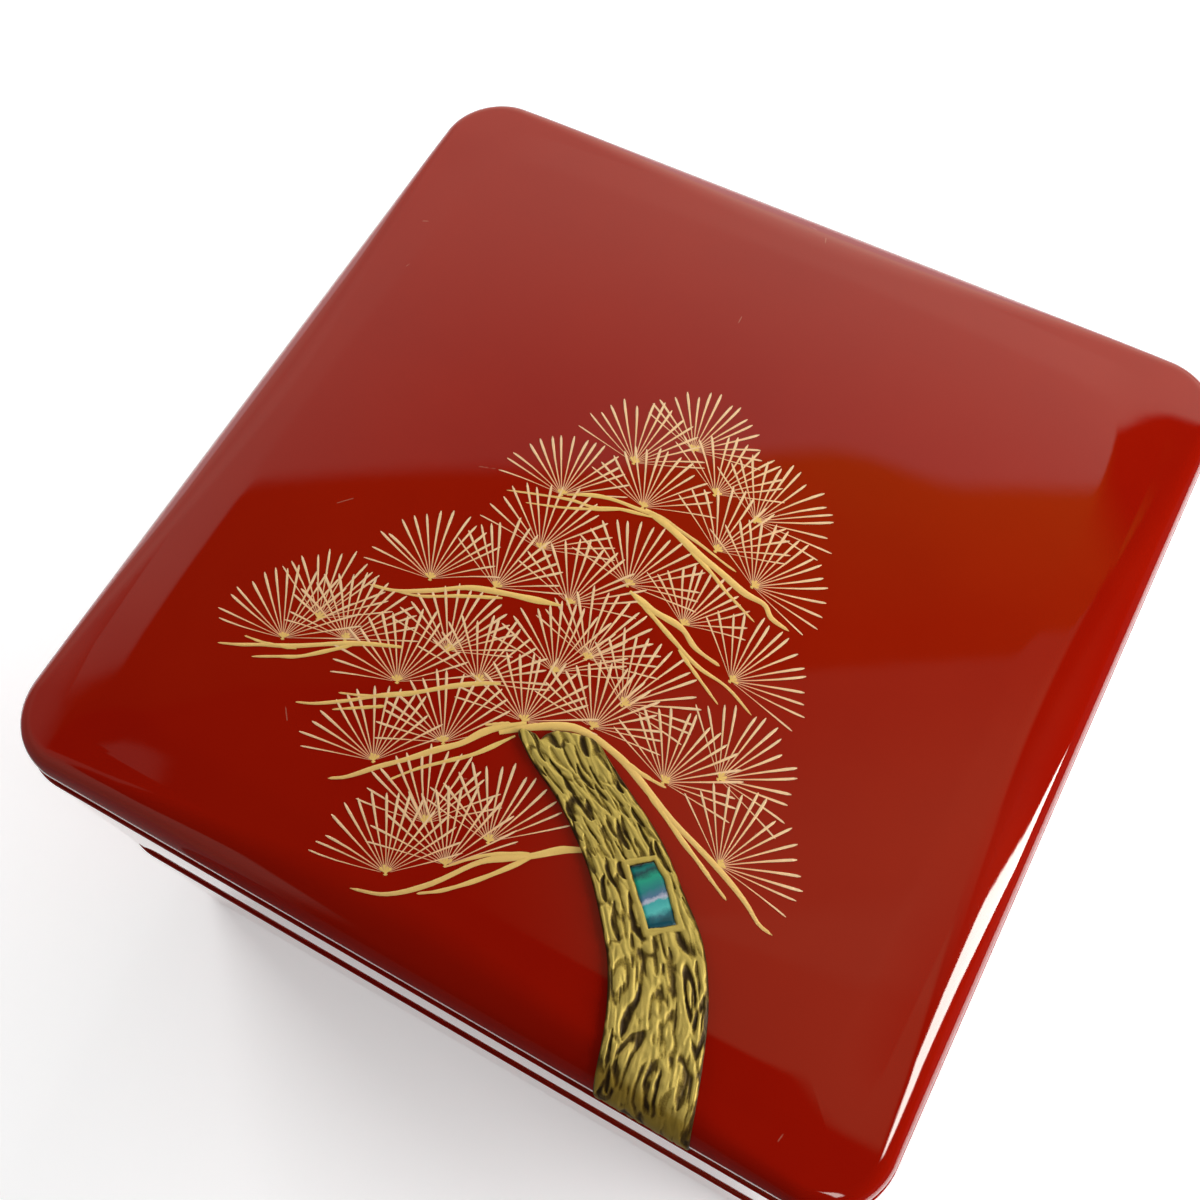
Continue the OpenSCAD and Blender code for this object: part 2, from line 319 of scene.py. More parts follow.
def hard_edges(mesh, normals):
    """True for every edge whose two faces have different normals where they share it. In a closed
    mesh each edge belongs to two corners, its own and the one that runs back along it."""
    loops = mesh.loops
    vertex, edge = np.empty(len(loops), np.int32), np.empty(len(loops), np.int32)
    start, total = np.empty(len(mesh.polygons), np.int32), np.empty(len(mesh.polygons), np.int32)
    loops.foreach_get("vertex_index", vertex)
    loops.foreach_get("edge_index", edge)
    mesh.polygons.foreach_get("loop_start", start)
    mesh.polygons.foreach_get("loop_total", total)
    following = np.arange(len(loops)) + 1
    following[start + total - 1] = start
    swap = (vertex > vertex[following])[:, None]
    after = normals[following]
    both_ends = np.concatenate([np.where(swap, after, normals), np.where(swap, normals, after)], 1)
    pair = both_ends[np.argsort(edge, kind="stable")].reshape(-1, 2, 6)
    return np.abs(pair[:, 0] - pair[:, 1]).max(1) > 0.02


def make_piece(name, points, parts, materials, body, nodes=(), attributes=None):
    """parts are (faces, a normal for each face corner, material number). Turned outwards by volume."""
    if volume(points, parts) < 0:
        parts = [(f[:, ::-1], n[:, ::-1], m) for f, n, m in parts]
    mesh = bpy.data.meshes.new(name)
    mesh.from_pydata(points.tolist(), [], [face for f, _, _ in parts for face in f.tolist()])
    indices = np.concatenate([np.full(len(f), m, np.int32) for f, _, m in parts])
    mesh.polygons.foreach_set("material_index", indices)
    mesh.polygons.foreach_set("use_smooth", np.ones(len(indices), bool))
    for key, values in (attributes or {}).items():
        layer = mesh.attributes.new(key, "FLOAT", "POINT")
        layer.data.foreach_set("value", np.asarray(values, np.float32).ravel())
    normals = unit(np.concatenate([n.reshape(-1, 3) for _, n, _ in parts]))
    mesh.edges.foreach_set("use_edge_sharp", hard_edges(mesh, normals))
    mesh.normals_split_custom_set(normals.tolist())
    for material in materials:
        mesh.materials.append(material)
    piece = bpy.data.objects.new(name, mesh)
    bpy.context.scene.collection.objects.link(piece)
    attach(piece, body)
    if nodes:
        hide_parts(*nodes)
    return piece

# %% Faces of a grid
def grid_faces(rows, columns, close_rows=False, close_columns=False):
    """Quads between neighbouring points of a rows by columns grid, numbered row by row."""
    r = np.arange(rows if close_rows else rows - 1)[:, None]
    c = np.arange(columns if close_columns else columns - 1)[None, :]
    r2, c2 = (r + 1) % rows, (c + 1) % columns
    corners = [r * columns + c, r * columns + c2, r2 * columns + c2, r2 * columns + c]
    return np.stack([np.broadcast_to(k, (len(r), c.shape[1])) for k in corners], -1).reshape(-1, 4)

# %% [markdown]
# ## Boards
# A tier's wall is four boards mitred at the corners. Each is one cross-section, with its
# rebates, carried along a quarter of the rounded square. A real board has no knife edges,
# so every corner of the section gets a small arc. In the section x runs in from the face.

# %% Section with rounded corners
def rounded_section(corners, steps=5):
    """A closed outline through (x, height, radius) corners, solid on the left. Each corner's arc
    touches both its edges. Returns the points, and the outward normal at both ends of each step."""
    spot = np.array([c[:2] for c in corners], float)
    into = unit(spot - np.roll(spot, 1, 0))
    out = np.roll(into, -1, 0)
    turn = into[:, 0] * out[:, 1] - into[:, 1] * out[:, 0]
    angle = np.arctan2(turn, (into * out).sum(1))
    points, normals = [], []
    for p, e, a, c in zip(spot, into, angle, corners):
        radius, side = c[2], math.copysign(1, a)
        normal = np.array([e[1], -e[0]])
        centre = p - e * radius * math.tan(abs(a) / 2) - side * radius * normal
        t = np.linspace(0, a, steps + 1 if radius else 2)
        bent = np.stack([normal[0] * np.cos(t) - normal[1] * np.sin(t),
            normal[0] * np.sin(t) + normal[1] * np.cos(t)], 1)
        points.append(centre + side * radius * bent if radius else p[None])
        normals.append(bent)
    starts = np.concatenate([n[1:] if len(p) == 1 else n for p, n in zip(points, normals)])
    ends = np.concatenate([n[:1] if len(p) == 1 else n for p, n in zip(points, normals)])
    return np.concatenate(points), np.stack([starts, np.roll(ends, -1, 0)], 1)

# %% The path of one side
ARC_STEPS = 16
STRAIGHT_STEPS = 40


def side_path(half, radius):
    """From mitre to mitre along the front: half a corner, the straight, half a corner.
    Each station is a point on the corner axes' square and the direction out of it."""
    reach = half - radius
    quarter = np.radians(np.linspace(0, 45, ARC_STEPS + 1))
    straight = np.linspace(-reach, reach, STRAIGHT_STEPS + 1)[1:-1]
    turn = np.concatenate([quarter - np.pi / 4, 0 * straight, quarter])
    across = np.concatenate([0 * quarter - reach, straight, 0 * quarter + reach])
    axis = np.stack([across, np.full_like(across, -reach)], 1)
    return axis, np.stack([np.sin(turn), -np.cos(turn)], 1)


def turned(v, side_no):
    """Turns vectors about +Z by side_no quarter turns: 0 front, 1 right, 2 back, 3 left."""
    c, s = round(math.cos(side_no * math.pi / 2)), round(math.sin(side_no * math.pi / 2))
    x, y = v[..., 0], v[..., 1]
    return np.stack([c * x - s * y, s * x + c * y, v[..., 2]], -1)

# %% Carry a section along a side
def swept_side(section, half, radius, low, side_no):
    """Point = axis + (radius - x) * outward, at height low + z. The section's normal turns with
    the outward direction. Returns the grid of points and of normals, station by section point."""
    points, normals = section
    axis, outward = side_path(half, radius)
    flat = axis[:, None] + (radius - points[None, :, :1]) * outward[:, None]
    height = np.broadcast_to(low + points[None, :, 1:], (*flat.shape[:2], 1))
    lean = -normals[None, ..., :1] * outward[:, None, None]
    rise = np.broadcast_to(normals[None, ..., 1:], (*lean.shape[:3], 1))
    return turned(np.concatenate([flat, height], -1), side_no), turned(np.concatenate([lean, rise], -1), side_no)


def board_parts(points, normals, material_of):
    """Quads round the section along the path, and a flat cap at each mitre."""
    stations, count = points.shape[:2]
    faces = grid_faces(stations, count, close_columns=True).reshape(stations - 1, count, 4)
    near, far = normals[:-1], normals[1:]
    corner = np.stack([near[:, :, 0], near[:, :, 1], far[:, :, 1], far[:, :, 0]], 2)
    parts = []
    for m in np.unique(material_of):
        chosen = material_of == m
        parts.append((faces[:, chosen].reshape(-1, 4), corner[:, chosen].reshape(-1, 4, 3), int(m)))
    for row, neighbour, order in ((0, 1, 1), (stations - 1, stations - 2, -1)):
        cap = (row * count + np.arange(count))[None, ::order]
        square_to = unit((points[row] - points[neighbour]).mean(0))
        parts.append((cap, np.broadcast_to(square_to, (1, count, 3)), 0))
    return parts


# %% [markdown]
# ## The two tiers
# Outside and foot are vermilion. The inside, the lip strips that key into the piece above,
# and the bottom boards are black, the usual pairing, since a lip is handled and must not show wear.

# %% Walls, lips and bottoms
SIDES = ["front", "right", "back", "left"]
wall_corners = [
    (DRAW_IN, 0, EDGE_R), (SOCKET_IN, 0, FILLET), (SOCKET_IN, FLOOR_LOW, FILLET / 2),
    (FLOOR_IN, FLOOR_LOW, FILLET / 2), (FLOOR_IN, FLOOR_HIGH, FILLET), (WALL_T, FLOOR_HIGH, FILLET),
    (WALL_T, LIP_LOW, FILLET), (LIP_OUT, LIP_LOW, FILLET), (LIP_OUT, TIER_H, FILLET), (0, TIER_H, EDGE_R),
]
lip_corners = [(LIP_OUT, LIP_LOW, FILLET), (WALL_T, LIP_LOW, FILLET), (WALL_T, LIP_HIGH, LIP_EDGE_R),
    (LIP_OUT, LIP_HIGH, LIP_EDGE_R)]


def make_board(name, section, half, radius, low, side_no, inner, body, materials, node):
    """One mitred board; section points further in than inner and its rebates take the second material."""
    points, normals = swept_side(section, half, radius, low, side_no)
    x = section[0][:, 0]
    material_of = ((x > inner) & (np.roll(x, -1) > inner)).astype(int)
    parts = board_parts(points, normals, material_of)
    return make_piece(name, points.reshape(-1, 3), parts, materials, body, [node])


for tier, low in (("lower", 0), ("upper", TIER_H)):
    body = tier + "_tier"
    for k, side in enumerate(SIDES):
        make_board(f"{tier}_{side}_board", rounded_section(wall_corners), RIM_HALF, CORNER_R, low, k,
            SOCKET_IN - FILLET, body, [VERMILION, BLACK], f"{tier}_{side}_wall")
        make_board(f"{tier}_{side}_strip", rounded_section(lip_corners), RIM_HALF, CORNER_R, low, k,
            RIM_HALF, body, [BLACK], f"{tier}_{side}_lip")
print("boards", len(SIDES) * 4)

# %% [markdown]
# ### Rings that close at a pole
# A bottom board, and later the lid's top, is a stack of rings: the rounded square drawn in step
# by step, then shrunk evenly to one point in the middle. Even shrinking keeps the squares square.

# %% Rings
def loop_path(half, radius):
    """All four sides' stations in one closed loop."""
    axis, outward = side_path(half, radius)
    a = np.pad(axis[:-1], ((0, 0), (0, 1)))
    o = np.pad(outward[:-1], ((0, 0), (0, 1)))
    return (np.concatenate([turned(a, k) for k in range(4)])[:, :2],
        np.concatenate([turned(o, k) for k in range(4)])[:, :2])


def ring_points(insets, heights, shrinks, half, radius):
    """Ring j is the rounded square insets[j] in from its side at heights[j], times shrinks[j]."""
    axis, outward = loop_path(half, radius)
    insets, heights, shrinks = (np.asarray(v, float)[:, None, None] for v in (insets, heights, shrinks))
    flat = (axis + (radius - insets) * outward) * shrinks
    return np.concatenate([flat, np.broadcast_to(heights, (*flat.shape[:2], 1))], -1)


def cap_rings(points, normals, first, pole, pole_normal):
    """Quads between rings, numbered from first, and triangles from the last ring to the pole."""
    rows, columns = points.shape[:2]
    quads = grid_faces(rows, columns, close_columns=True) + first
    flat = normals.reshape(-1, 3)
    last = first + (rows - 1) * columns + np.arange(columns)
    fan = np.stack([last, np.roll(last, -1), np.full(columns, pole)], 1)
    tips = np.stack([normals[-1], np.roll(normals[-1], -1, 0), np.broadcast_to(pole_normal, (columns, 3))], 1)
    return quads, flat[quads - first], fan, tips


def bottom_board(name, low, body, node):
    """A plate with rounded rim: bottom ring, rim arc, top ring, then shrinking rings to both poles."""
    half, radius = RIM_HALF - FLOOR_IN, CORNER_R - FLOOR_IN
    t = np.linspace(0, np.pi / 2, 5)
    arc = FILLET * (1 - np.sin(t))
    shrinks = np.linspace(1, 0, 13)[1:-1]
    sets, up = [], np.array([0, 0, 1.0])
    for sign, edge in ((1, FLOOR_HIGH), (-1, FLOOR_LOW)):
        insets = np.concatenate([FILLET * (1 - np.cos(t)), np.full(len(shrinks), FILLET)])
        heights = low + edge - sign * np.concatenate([FILLET * (1 - np.sin(t)), 0 * shrinks])
        scale = np.concatenate([np.ones(len(t)), shrinks])
        rings = ring_points(insets, heights, scale, half, radius)
        outward = np.pad(loop_path(half, radius)[1], ((0, 0), (0, 1)))
        lean = np.concatenate([t, np.full(len(shrinks), np.pi / 2)])[:, None, None]
        sets.append((rings, np.cos(lean) * outward + sign * np.sin(lean) * up, sign))
    count = sets[0][0].shape[0] * sets[0][0].shape[1]
    columns = sets[0][0].shape[1]
    points = np.concatenate([sets[0][0].reshape(-1, 3), sets[1][0].reshape(-1, 3),
        [[0, 0, low + FLOOR_HIGH], [0, 0, low + FLOOR_LOW]]])
    parts = []
    for k, (rings, normals, sign) in enumerate(sets):
        quads, qn, fan, fn = cap_rings(rings, normals, k * count, 2 * count + k, sign * up)
        if sign < 0:
            quads, qn, fan, fn = quads[:, ::-1], qn[:, ::-1], fan[:, ::-1], fn[:, ::-1]
        parts += [(quads, qn, 0), (fan, fn, 0)]
    c = np.arange(columns)
    rim = np.stack([count + c, count + (c + 1) % columns, (c + 1) % columns, c], 1)
    rim_normals = np.stack([sets[0][1][0][c], sets[0][1][0][(c + 1) % columns]] * 2, 1)[:, [0, 1, 1, 0]]
    parts.append((rim, rim_normals, 0))
    return make_piece(name, points, parts, [BLACK], body, [node])


for tier, low in (("lower", 0), ("upper", TIER_H)):
    bottom_board(f"{tier}_bottom_board", low, tier + "_tier", f"{tier}_floor")

# %% [markdown]
# ## The lid
# The lid's form is two surfaces that cut each other: a shoulder rolled along all four sides, and
# a wide shallow ball over everything. Each is written as a signed distance, negative inside.
# The larger of the two is the lid, and rounding that choice over a couple of millimetres gives
# the soft crease that the lacquer shows. A second, fainter crease runs round the dome a little
# further in, where it tilts two degrees more. Points are walked onto the surface along its slope.

# %% The lid as a distance
CREASE_SOFT = 2.4 * MM
FACET_IN = 17.5 * MM
FACET_TILT = math.tan(math.radians(2))
FACET_SOFT = 0.5 * MM
DOME_CENTRE = np.array([0, 0, RIM_Z + LID_H - dome_r])


def soft_step(x, low, high):
    """0 below low, 1 above high, smooth between."""
    t = np.clip((x - low) / (high - low), 0, 1)
    return t * t * (3 - 2 * t)


def plan_inset(x, y):
    """How far in from the lid's side a plan point lies, and the plan direction out to the side."""
    ax, ay = np.abs(x), np.abs(y)
    reach = LID_HALF - LID_CORNER_R
    dx, dy = np.maximum(ax - reach, 0), np.maximum(ay - reach, 0)
    in_corner = (ax > reach) & (ay > reach)
    long = np.maximum(np.hypot(dx, dy), 1e-12)
    wide = ax >= ay
    inset = np.where(in_corner, LID_CORNER_R - long, LID_HALF - np.maximum(ax, ay))
    ox = np.where(in_corner, dx / long, wide) * np.sign(x)
    oy = np.where(in_corner, dy / long, ~wide) * np.sign(y)
    return inset, ox, oy


def shoulder_distance(inset, up):
    """Distance to the rolled shoulder's section and its normal: upright face, tight arc, flatter
    arc, then the flatter arc's last tangent."""
    x1, z1 = inset - TIGHT_R, up - SIDE_UP
    x2, z2 = inset - flat_x, up - SIDE_UP - flat_up
    lean_1, lean_2 = np.arctan2(-x1, z1), np.arctan2(-x2, z2)
    r1, r2 = np.hypot(x1, z1) + 1e-12, np.hypot(x2, z2) + 1e-12
    sin_2, cos_2 = math.sin(LEAN_2), math.cos(LEAN_2)
    cases = [lean_1 >= np.pi / 2, lean_1 >= LEAN_1, lean_2 >= LEAN_2]
    distance = np.select(cases, [-inset, r1 - TIGHT_R, r2 - flat_r], cos_2 * z2 - sin_2 * x2 - flat_r)
    normal_in = np.select(cases, [-np.ones_like(r1), x1 / r1, x2 / r2], -sin_2)
    normal_up = np.select(cases, [np.zeros_like(r1), z1 / r1, z2 / r2], cos_2)
    return distance, normal_in, normal_up


def facet_drop(x, y):
    """How far the ball is lowered outside the faint crease, which is a square with softened corners.
    The tilt stops under the shoulder and fades out towards the lid's corners."""
    ax, ay = np.abs(x), np.abs(y)
    from_side = np.maximum(LID_HALF - (ax ** 16 + ay ** 16) ** (1 / 16), 9 * MM)
    drop = FACET_TILT * FACET_SOFT * np.logaddexp(0, (FACET_IN - from_side) / FACET_SOFT)
    return drop * (1 - soft_step(np.minimum(ax, ay), 66 * MM, 84 * MM))


def lid_distance(p):
    """The larger of shoulder and ball, rounded where they are within a softness of each other."""
    inset, ox, oy = plan_inset(p[..., 0], p[..., 1])
    a, n_in, n_up = shoulder_distance(inset, p[..., 2] - RIM_Z)
    from_ball = p - DOME_CENTRE
    far = np.linalg.norm(from_ball, axis=-1)
    b = far - dome_r + facet_drop(p[..., 0], p[..., 1])
    alike = (-n_in * (ox * from_ball[..., 0] + oy * from_ball[..., 1]) + n_up * from_ball[..., 2]) / far
    soft = CREASE_SOFT * np.sqrt(np.maximum(1 - alike ** 2, 0)) + 1e-9
    return np.maximum(a, b) + np.maximum(soft - np.abs(a - b), 0) ** 2 / (4 * soft)


def lid_slope(p, step=1e-6):
    """Gradient of the distance by central differences."""
    axes = np.eye(3) * step
    return np.stack([(lid_distance(p + e) - lid_distance(p - e)) / (2 * step) for e in axes], -1)


def onto_lid(p, free=(1, 1, 1), rounds=8):
    """Walks points onto the lid, moving only along the axes that are free."""
    for _ in range(rounds):
        g = lid_slope(p) * np.array(free)
        p = p - (lid_distance(p) / np.maximum((g * g).sum(-1), 1e-9))[..., None] * g
    return p

# %% Side rails of the lid
tight_leans = np.linspace(np.pi / 2, math.acos((RAIL_TOP - SIDE_UP) / TIGHT_R), 9)
rail_face = [(TIGHT_R * (1 - math.sin(a)), SIDE_UP + TIGHT_R * math.cos(a)) for a in tight_leans[::-1]]
rail_corners = [(0, 0, EDGE_R), (SOCKET_IN - DRAW_IN, 0, FILLET), (SOCKET_IN - DRAW_IN, FLOOR_LOW, FILLET),
    (WALL_T - DRAW_IN, FLOOR_LOW, FILLET), (WALL_T - DRAW_IN, RAIL_TOP, 0)]
rail_corners += [(x, z, 0) for x, z in rail_face]
for k, side in enumerate(SIDES):
    section = rounded_section(rail_corners)
    points, normals = swept_side(section, LID_HALF, LID_CORNER_R, RIM_Z, k)
    first = len(section[0]) - len(rail_face)
    points[:, first:] = onto_lid(points[:, first:], free=(1, 1, 0))
    slopes = lid_slope(points[:, first:])
    normals[:, first:, 0] = slopes
    normals[:, first:-1, 1] = slopes[:, 1:]
    x = section[0][:, 0]
    inside = ((x > SOCKET_IN - DRAW_IN - FILLET) & (np.roll(x, -1) > SOCKET_IN - DRAW_IN - FILLET)).astype(int)
    make_piece(f"lid_{side}_side", points.reshape(-1, 3), board_parts(points, normals, inside),
        [VERMILION, BLACK], "lid", [f"lid_{side}_rail"])

# %% Domed top board
def lid_top_board():
    """Rings up the tight arc, over the flatter arc, then shrinking rings over the dome to a pole;
    underneath, shrinking rings on a smaller ball that meets the rails' flat."""
    arc_1 = np.linspace(tight_leans[-1], LEAN_1, 7)
    arc_2 = np.linspace(LEAN_1, LEAN_2, 23)[1:]
    insets = np.concatenate([TIGHT_R - TIGHT_R * np.sin(arc_1), flat_x - flat_r * np.sin(arc_2)])
    heights = np.concatenate([TIGHT_R * np.cos(arc_1), flat_up + flat_r * np.cos(arc_2)]) + SIDE_UP
    near_facet = (LID_HALF - FACET_IN + np.array([2, 1, 0.6, 0.3, 0, -0.3, -0.6, -1, -2]) * MM) / (LID_HALF - insets[-1])
    inner = np.concatenate([near_facet, np.linspace(0.92, 0, 29)[:-1]])
    top = ring_points(np.concatenate([insets, np.full(len(inner), insets[-1])]),
        RIM_Z + np.concatenate([heights, np.full(len(inner), LID_H)]),
        np.concatenate([np.ones(len(insets)), inner]), LID_HALF, LID_CORNER_R)
    top[0] = onto_lid(top[0], free=(1, 1, 0))
    top[1:] = onto_lid(top[1:])
    under = np.concatenate([top[:1], top[:1] * np.array([1, 1, 0]) * np.linspace(1, 0, 42)[1:-1, None, None]])
    reach = np.hypot(under[1:, :, 0], under[1:, :, 1])
    ball = LID_H - LID_T - (dome_r - LID_T) + np.sqrt((dome_r - LID_T) ** 2 - reach ** 2)
    soft = 0.6 * MM
    gap = ball - RAIL_TOP
    height = RAIL_TOP + np.maximum(gap, 0) + np.maximum(soft - np.abs(gap), 0) ** 2 / (4 * soft)
    share = np.clip((gap + soft) / (2 * soft), 0, 1)
    under[1:, :, 2] = RIM_Z + height
    tilt = share[..., None] * np.pad(under[1:, :, :2] / (dome_r - LID_T), ((0, 0), (0, 0), (0, 1)))
    down = np.concatenate([np.zeros((1, *tilt.shape[1:])), -tilt]) - np.array([0, 0, 1])
    columns = top.shape[1]
    count = top.shape[0] * columns
    points = np.concatenate([top.reshape(-1, 3), under[1:].reshape(-1, 3),
        [[0, 0, RIM_Z + LID_H], [0, 0, RIM_Z + LID_H - LID_T]]])
    poles = count + (under.shape[0] - 1) * columns
    quads, qn, fan, fn = cap_rings(top, lid_slope(top), 0, poles, np.array([0, 0, 1]))
    q2, qn2, fan2, fn2 = cap_rings(under, down, count - columns, poles + 1, np.array([0, 0, -1]))
    q2 = np.where(q2 < count, q2 - (count - columns), q2)
    parts = [(quads, qn, 0), (fan, fn, 0), (q2[:, ::-1], qn2[:, ::-1], 1), (fan2[:, ::-1], fn2[:, ::-1], 1)]
    return make_piece("lid_dome", points, parts, [VERMILION, BLACK], "lid", ["lid_top"])


dome = lid_top_board()
print("lid top", len(dome.data.vertices), "points")

# %% [markdown]
# ## Needles and boughs
# The pine is the common picture for such a lid. Each tuft is a fan of needles round a hub, and
# each needle is one brush stroke: thin where it leaves the hub, widest just before its tip.
# A stroke is a low ridge of four points across that lies on the lid. The hubs, the fans'
# openings and the boughs' lines are listed in millimetres from the lid's middle.

# %% Places of the tufts
# Each is hub across, hub up, needle length, first and last direction in degrees
TUFTS = [
    (2.3, 23, 14.5, 10, 165), (-7.3, 14.7, 15, 20, 169), (11, 15.7, 14.5, 20, 150), (21, 14, 15, -8, 150),
    (-0.7, 6.3, 14.3, 20, 167), (-17, 1.3, 14.5, 25, 181), (17, 4.3, 14.5, 15, 146), (27, 0.7, 14.5, -20, 150),
    (-14.7, -11.6, 15, 17, 174), (4.9, -10.6, 14.3, 5, 170), (18.5, -13.1, 13, 15, 150),
    (32.1, -19.1, 14.5, -12, 135), (-3.6, -19.5, 14, 15, 165), (-18.6, -23.1, 14.5, 20, 155),
    (-31.4, -27.4, 15, 30, 186), (5.1, -28.1, 14.5, 10, 165), (16, -33.1, 14.5, -7, 150),
    (1, -33.4, 14.5, 20, 175), (38.9, -37.4, 14.5, -17, 135), (30, -42.9, 14.5, -3, 160),
    (46.2, -51.9, 15, -9, 142), (-20, -39.2, 14, 20, 175), (-11.4, -41.9, 14, 15, 175),
    (-25.7, -49.2, 15, 30, 196), (-40, -46.3, 14.8, 25, 188), (-51.8, -51.7, 15.7, 25, 191),
    (-47.5, -45, 15, 30, 155), (-11.1, -55.6, 14.5, 40, 202), (-21.4, -64.9, 15, 45, 197),
    (-6.1, -70.6, 14.5, 40, 190), (6.4, -68.1, 14.7, 37, 175), (1.4, -75.6, 15, 45, 190),
    (-7.9, -82.1, 15.3, 40, 195), (13, -39.8, 13.5, 5, 175), (0.6, -44.9, 14, 10, 185),
]
NEEDLE_STEP = 10.5
STROKE_RAISE = 0.15 * MM
draw = np.random.default_rng(5)


def lid_height(x, y):
    """Height of the lid over a plan point, and its normal there."""
    p = np.stack([x, y, np.full_like(x, RIM_Z + LID_H)], -1)
    p = onto_lid(p, free=(0, 0, 1))
    return p, unit(lid_slope(p))


def strokes(name, centre, width, along):
    """Lays strokes on the lid. centre is strokes by stations by 2, width strokes by stations.
    Four points across: two feet sunk in the lacquer and two shoulders raised with the width."""
    ahead = unit(np.gradient(centre, axis=1))
    across = np.stack([-ahead[..., 1], ahead[..., 0]], -1)
    offset = np.array([-0.5, -0.26, 0.26, 0.5])
    flat = centre[:, :, None] + across[:, :, None] * width[..., None, None] * offset[:, None]
    on, up = lid_height(flat[..., 0], flat[..., 1])
    raised = np.minimum(width / (0.6 * MM), 1)[..., None] * np.array([-0.35, 1, 1, -0.35]) * STROKE_RAISE
    points = on + up * raised[..., None]
    count, stations = centre.shape[:2]
    one = grid_faces(stations, 4, close_columns=True)
    ends = np.array([[3, 2, 1, 0], [stations * 4 - 4 + k for k in range(4)]])
    faces = np.concatenate([one, ends])[None] + (np.arange(count) * stations * 4)[:, None, None]
    faces = faces.reshape(-1, 4)
    side = np.pad(across, ((0, 0), (0, 0), (0, 1)))[:, :, None] * np.array([-0.5, -0.15, 0.15, 0.5])[:, None]
    normals = (up + side).reshape(-1, 3)
    piece = make_piece(name, points.reshape(-1, 3), [(faces, normals[faces], 0)], [GOLD], "lid",
        attributes={"along": np.repeat(along.ravel(), 4)})
    print(name, count, "strokes", len(faces), "faces")
    return piece

# %% Needles
DABS = 4


def needles():
    """Every needle runs out from its tuft's hub along its own direction, bending a little. The
    last ones of a fan are finer. A few short dabs close the hub."""
    hub, turn, start, length, full, tone = [], [], [], [], [], []
    for x, y, reach, first, last in TUFTS:
        count = int(round((last - first) / NEEDLE_STEP)) + 1
        share = np.linspace(-1, 1, count)
        hub.append(np.tile([x, y], (count + DABS, 1)))
        middle = (first + last) / 2
        turn.append(middle + share * (last - first) / 2 + draw.normal(0, 1.0, count))
        turn.append(middle + np.linspace(-50, 50, DABS))
        start.append(np.concatenate([draw.uniform(0.3, 1.0, count), np.full(DABS, -0.5)]))
        length.append(np.concatenate([reach * (1 + draw.normal(0, 0.04, count)), draw.uniform(1.1, 1.6, DABS)]))
        full.append(np.concatenate([(1 - 0.4 * share ** 4) * draw.uniform(0.9, 1.1, count), np.full(DABS, 1.0)]))
        tone.append(np.concatenate([np.ones(count), np.zeros(DABS)]))
    hub, turn, start, length, full, tone = (np.concatenate(v) for v in (hub, turn, start, length, full, tone))
    stations = np.array([0, 0.3, 0.6, 0.84, 0.95, 1.0])
    thick = np.array([0.19, 0.27, 0.43, 0.62, 0.56, 0.2])
    out = start[:, None] + (length - start)[:, None] * stations
    way = np.radians(turn)[:, None] + draw.normal(0, 0.025, len(turn))[:, None] * stations ** 2
    centre = hub[:, None] + out[..., None] * np.stack([np.cos(way), np.sin(way)], -1)
    width = thick * full[:, None]
    along = (0.15 + 0.85 * stations) * tone[:, None]
    return strokes("pine_needles", centre * MM, width * MM, along)


needles()

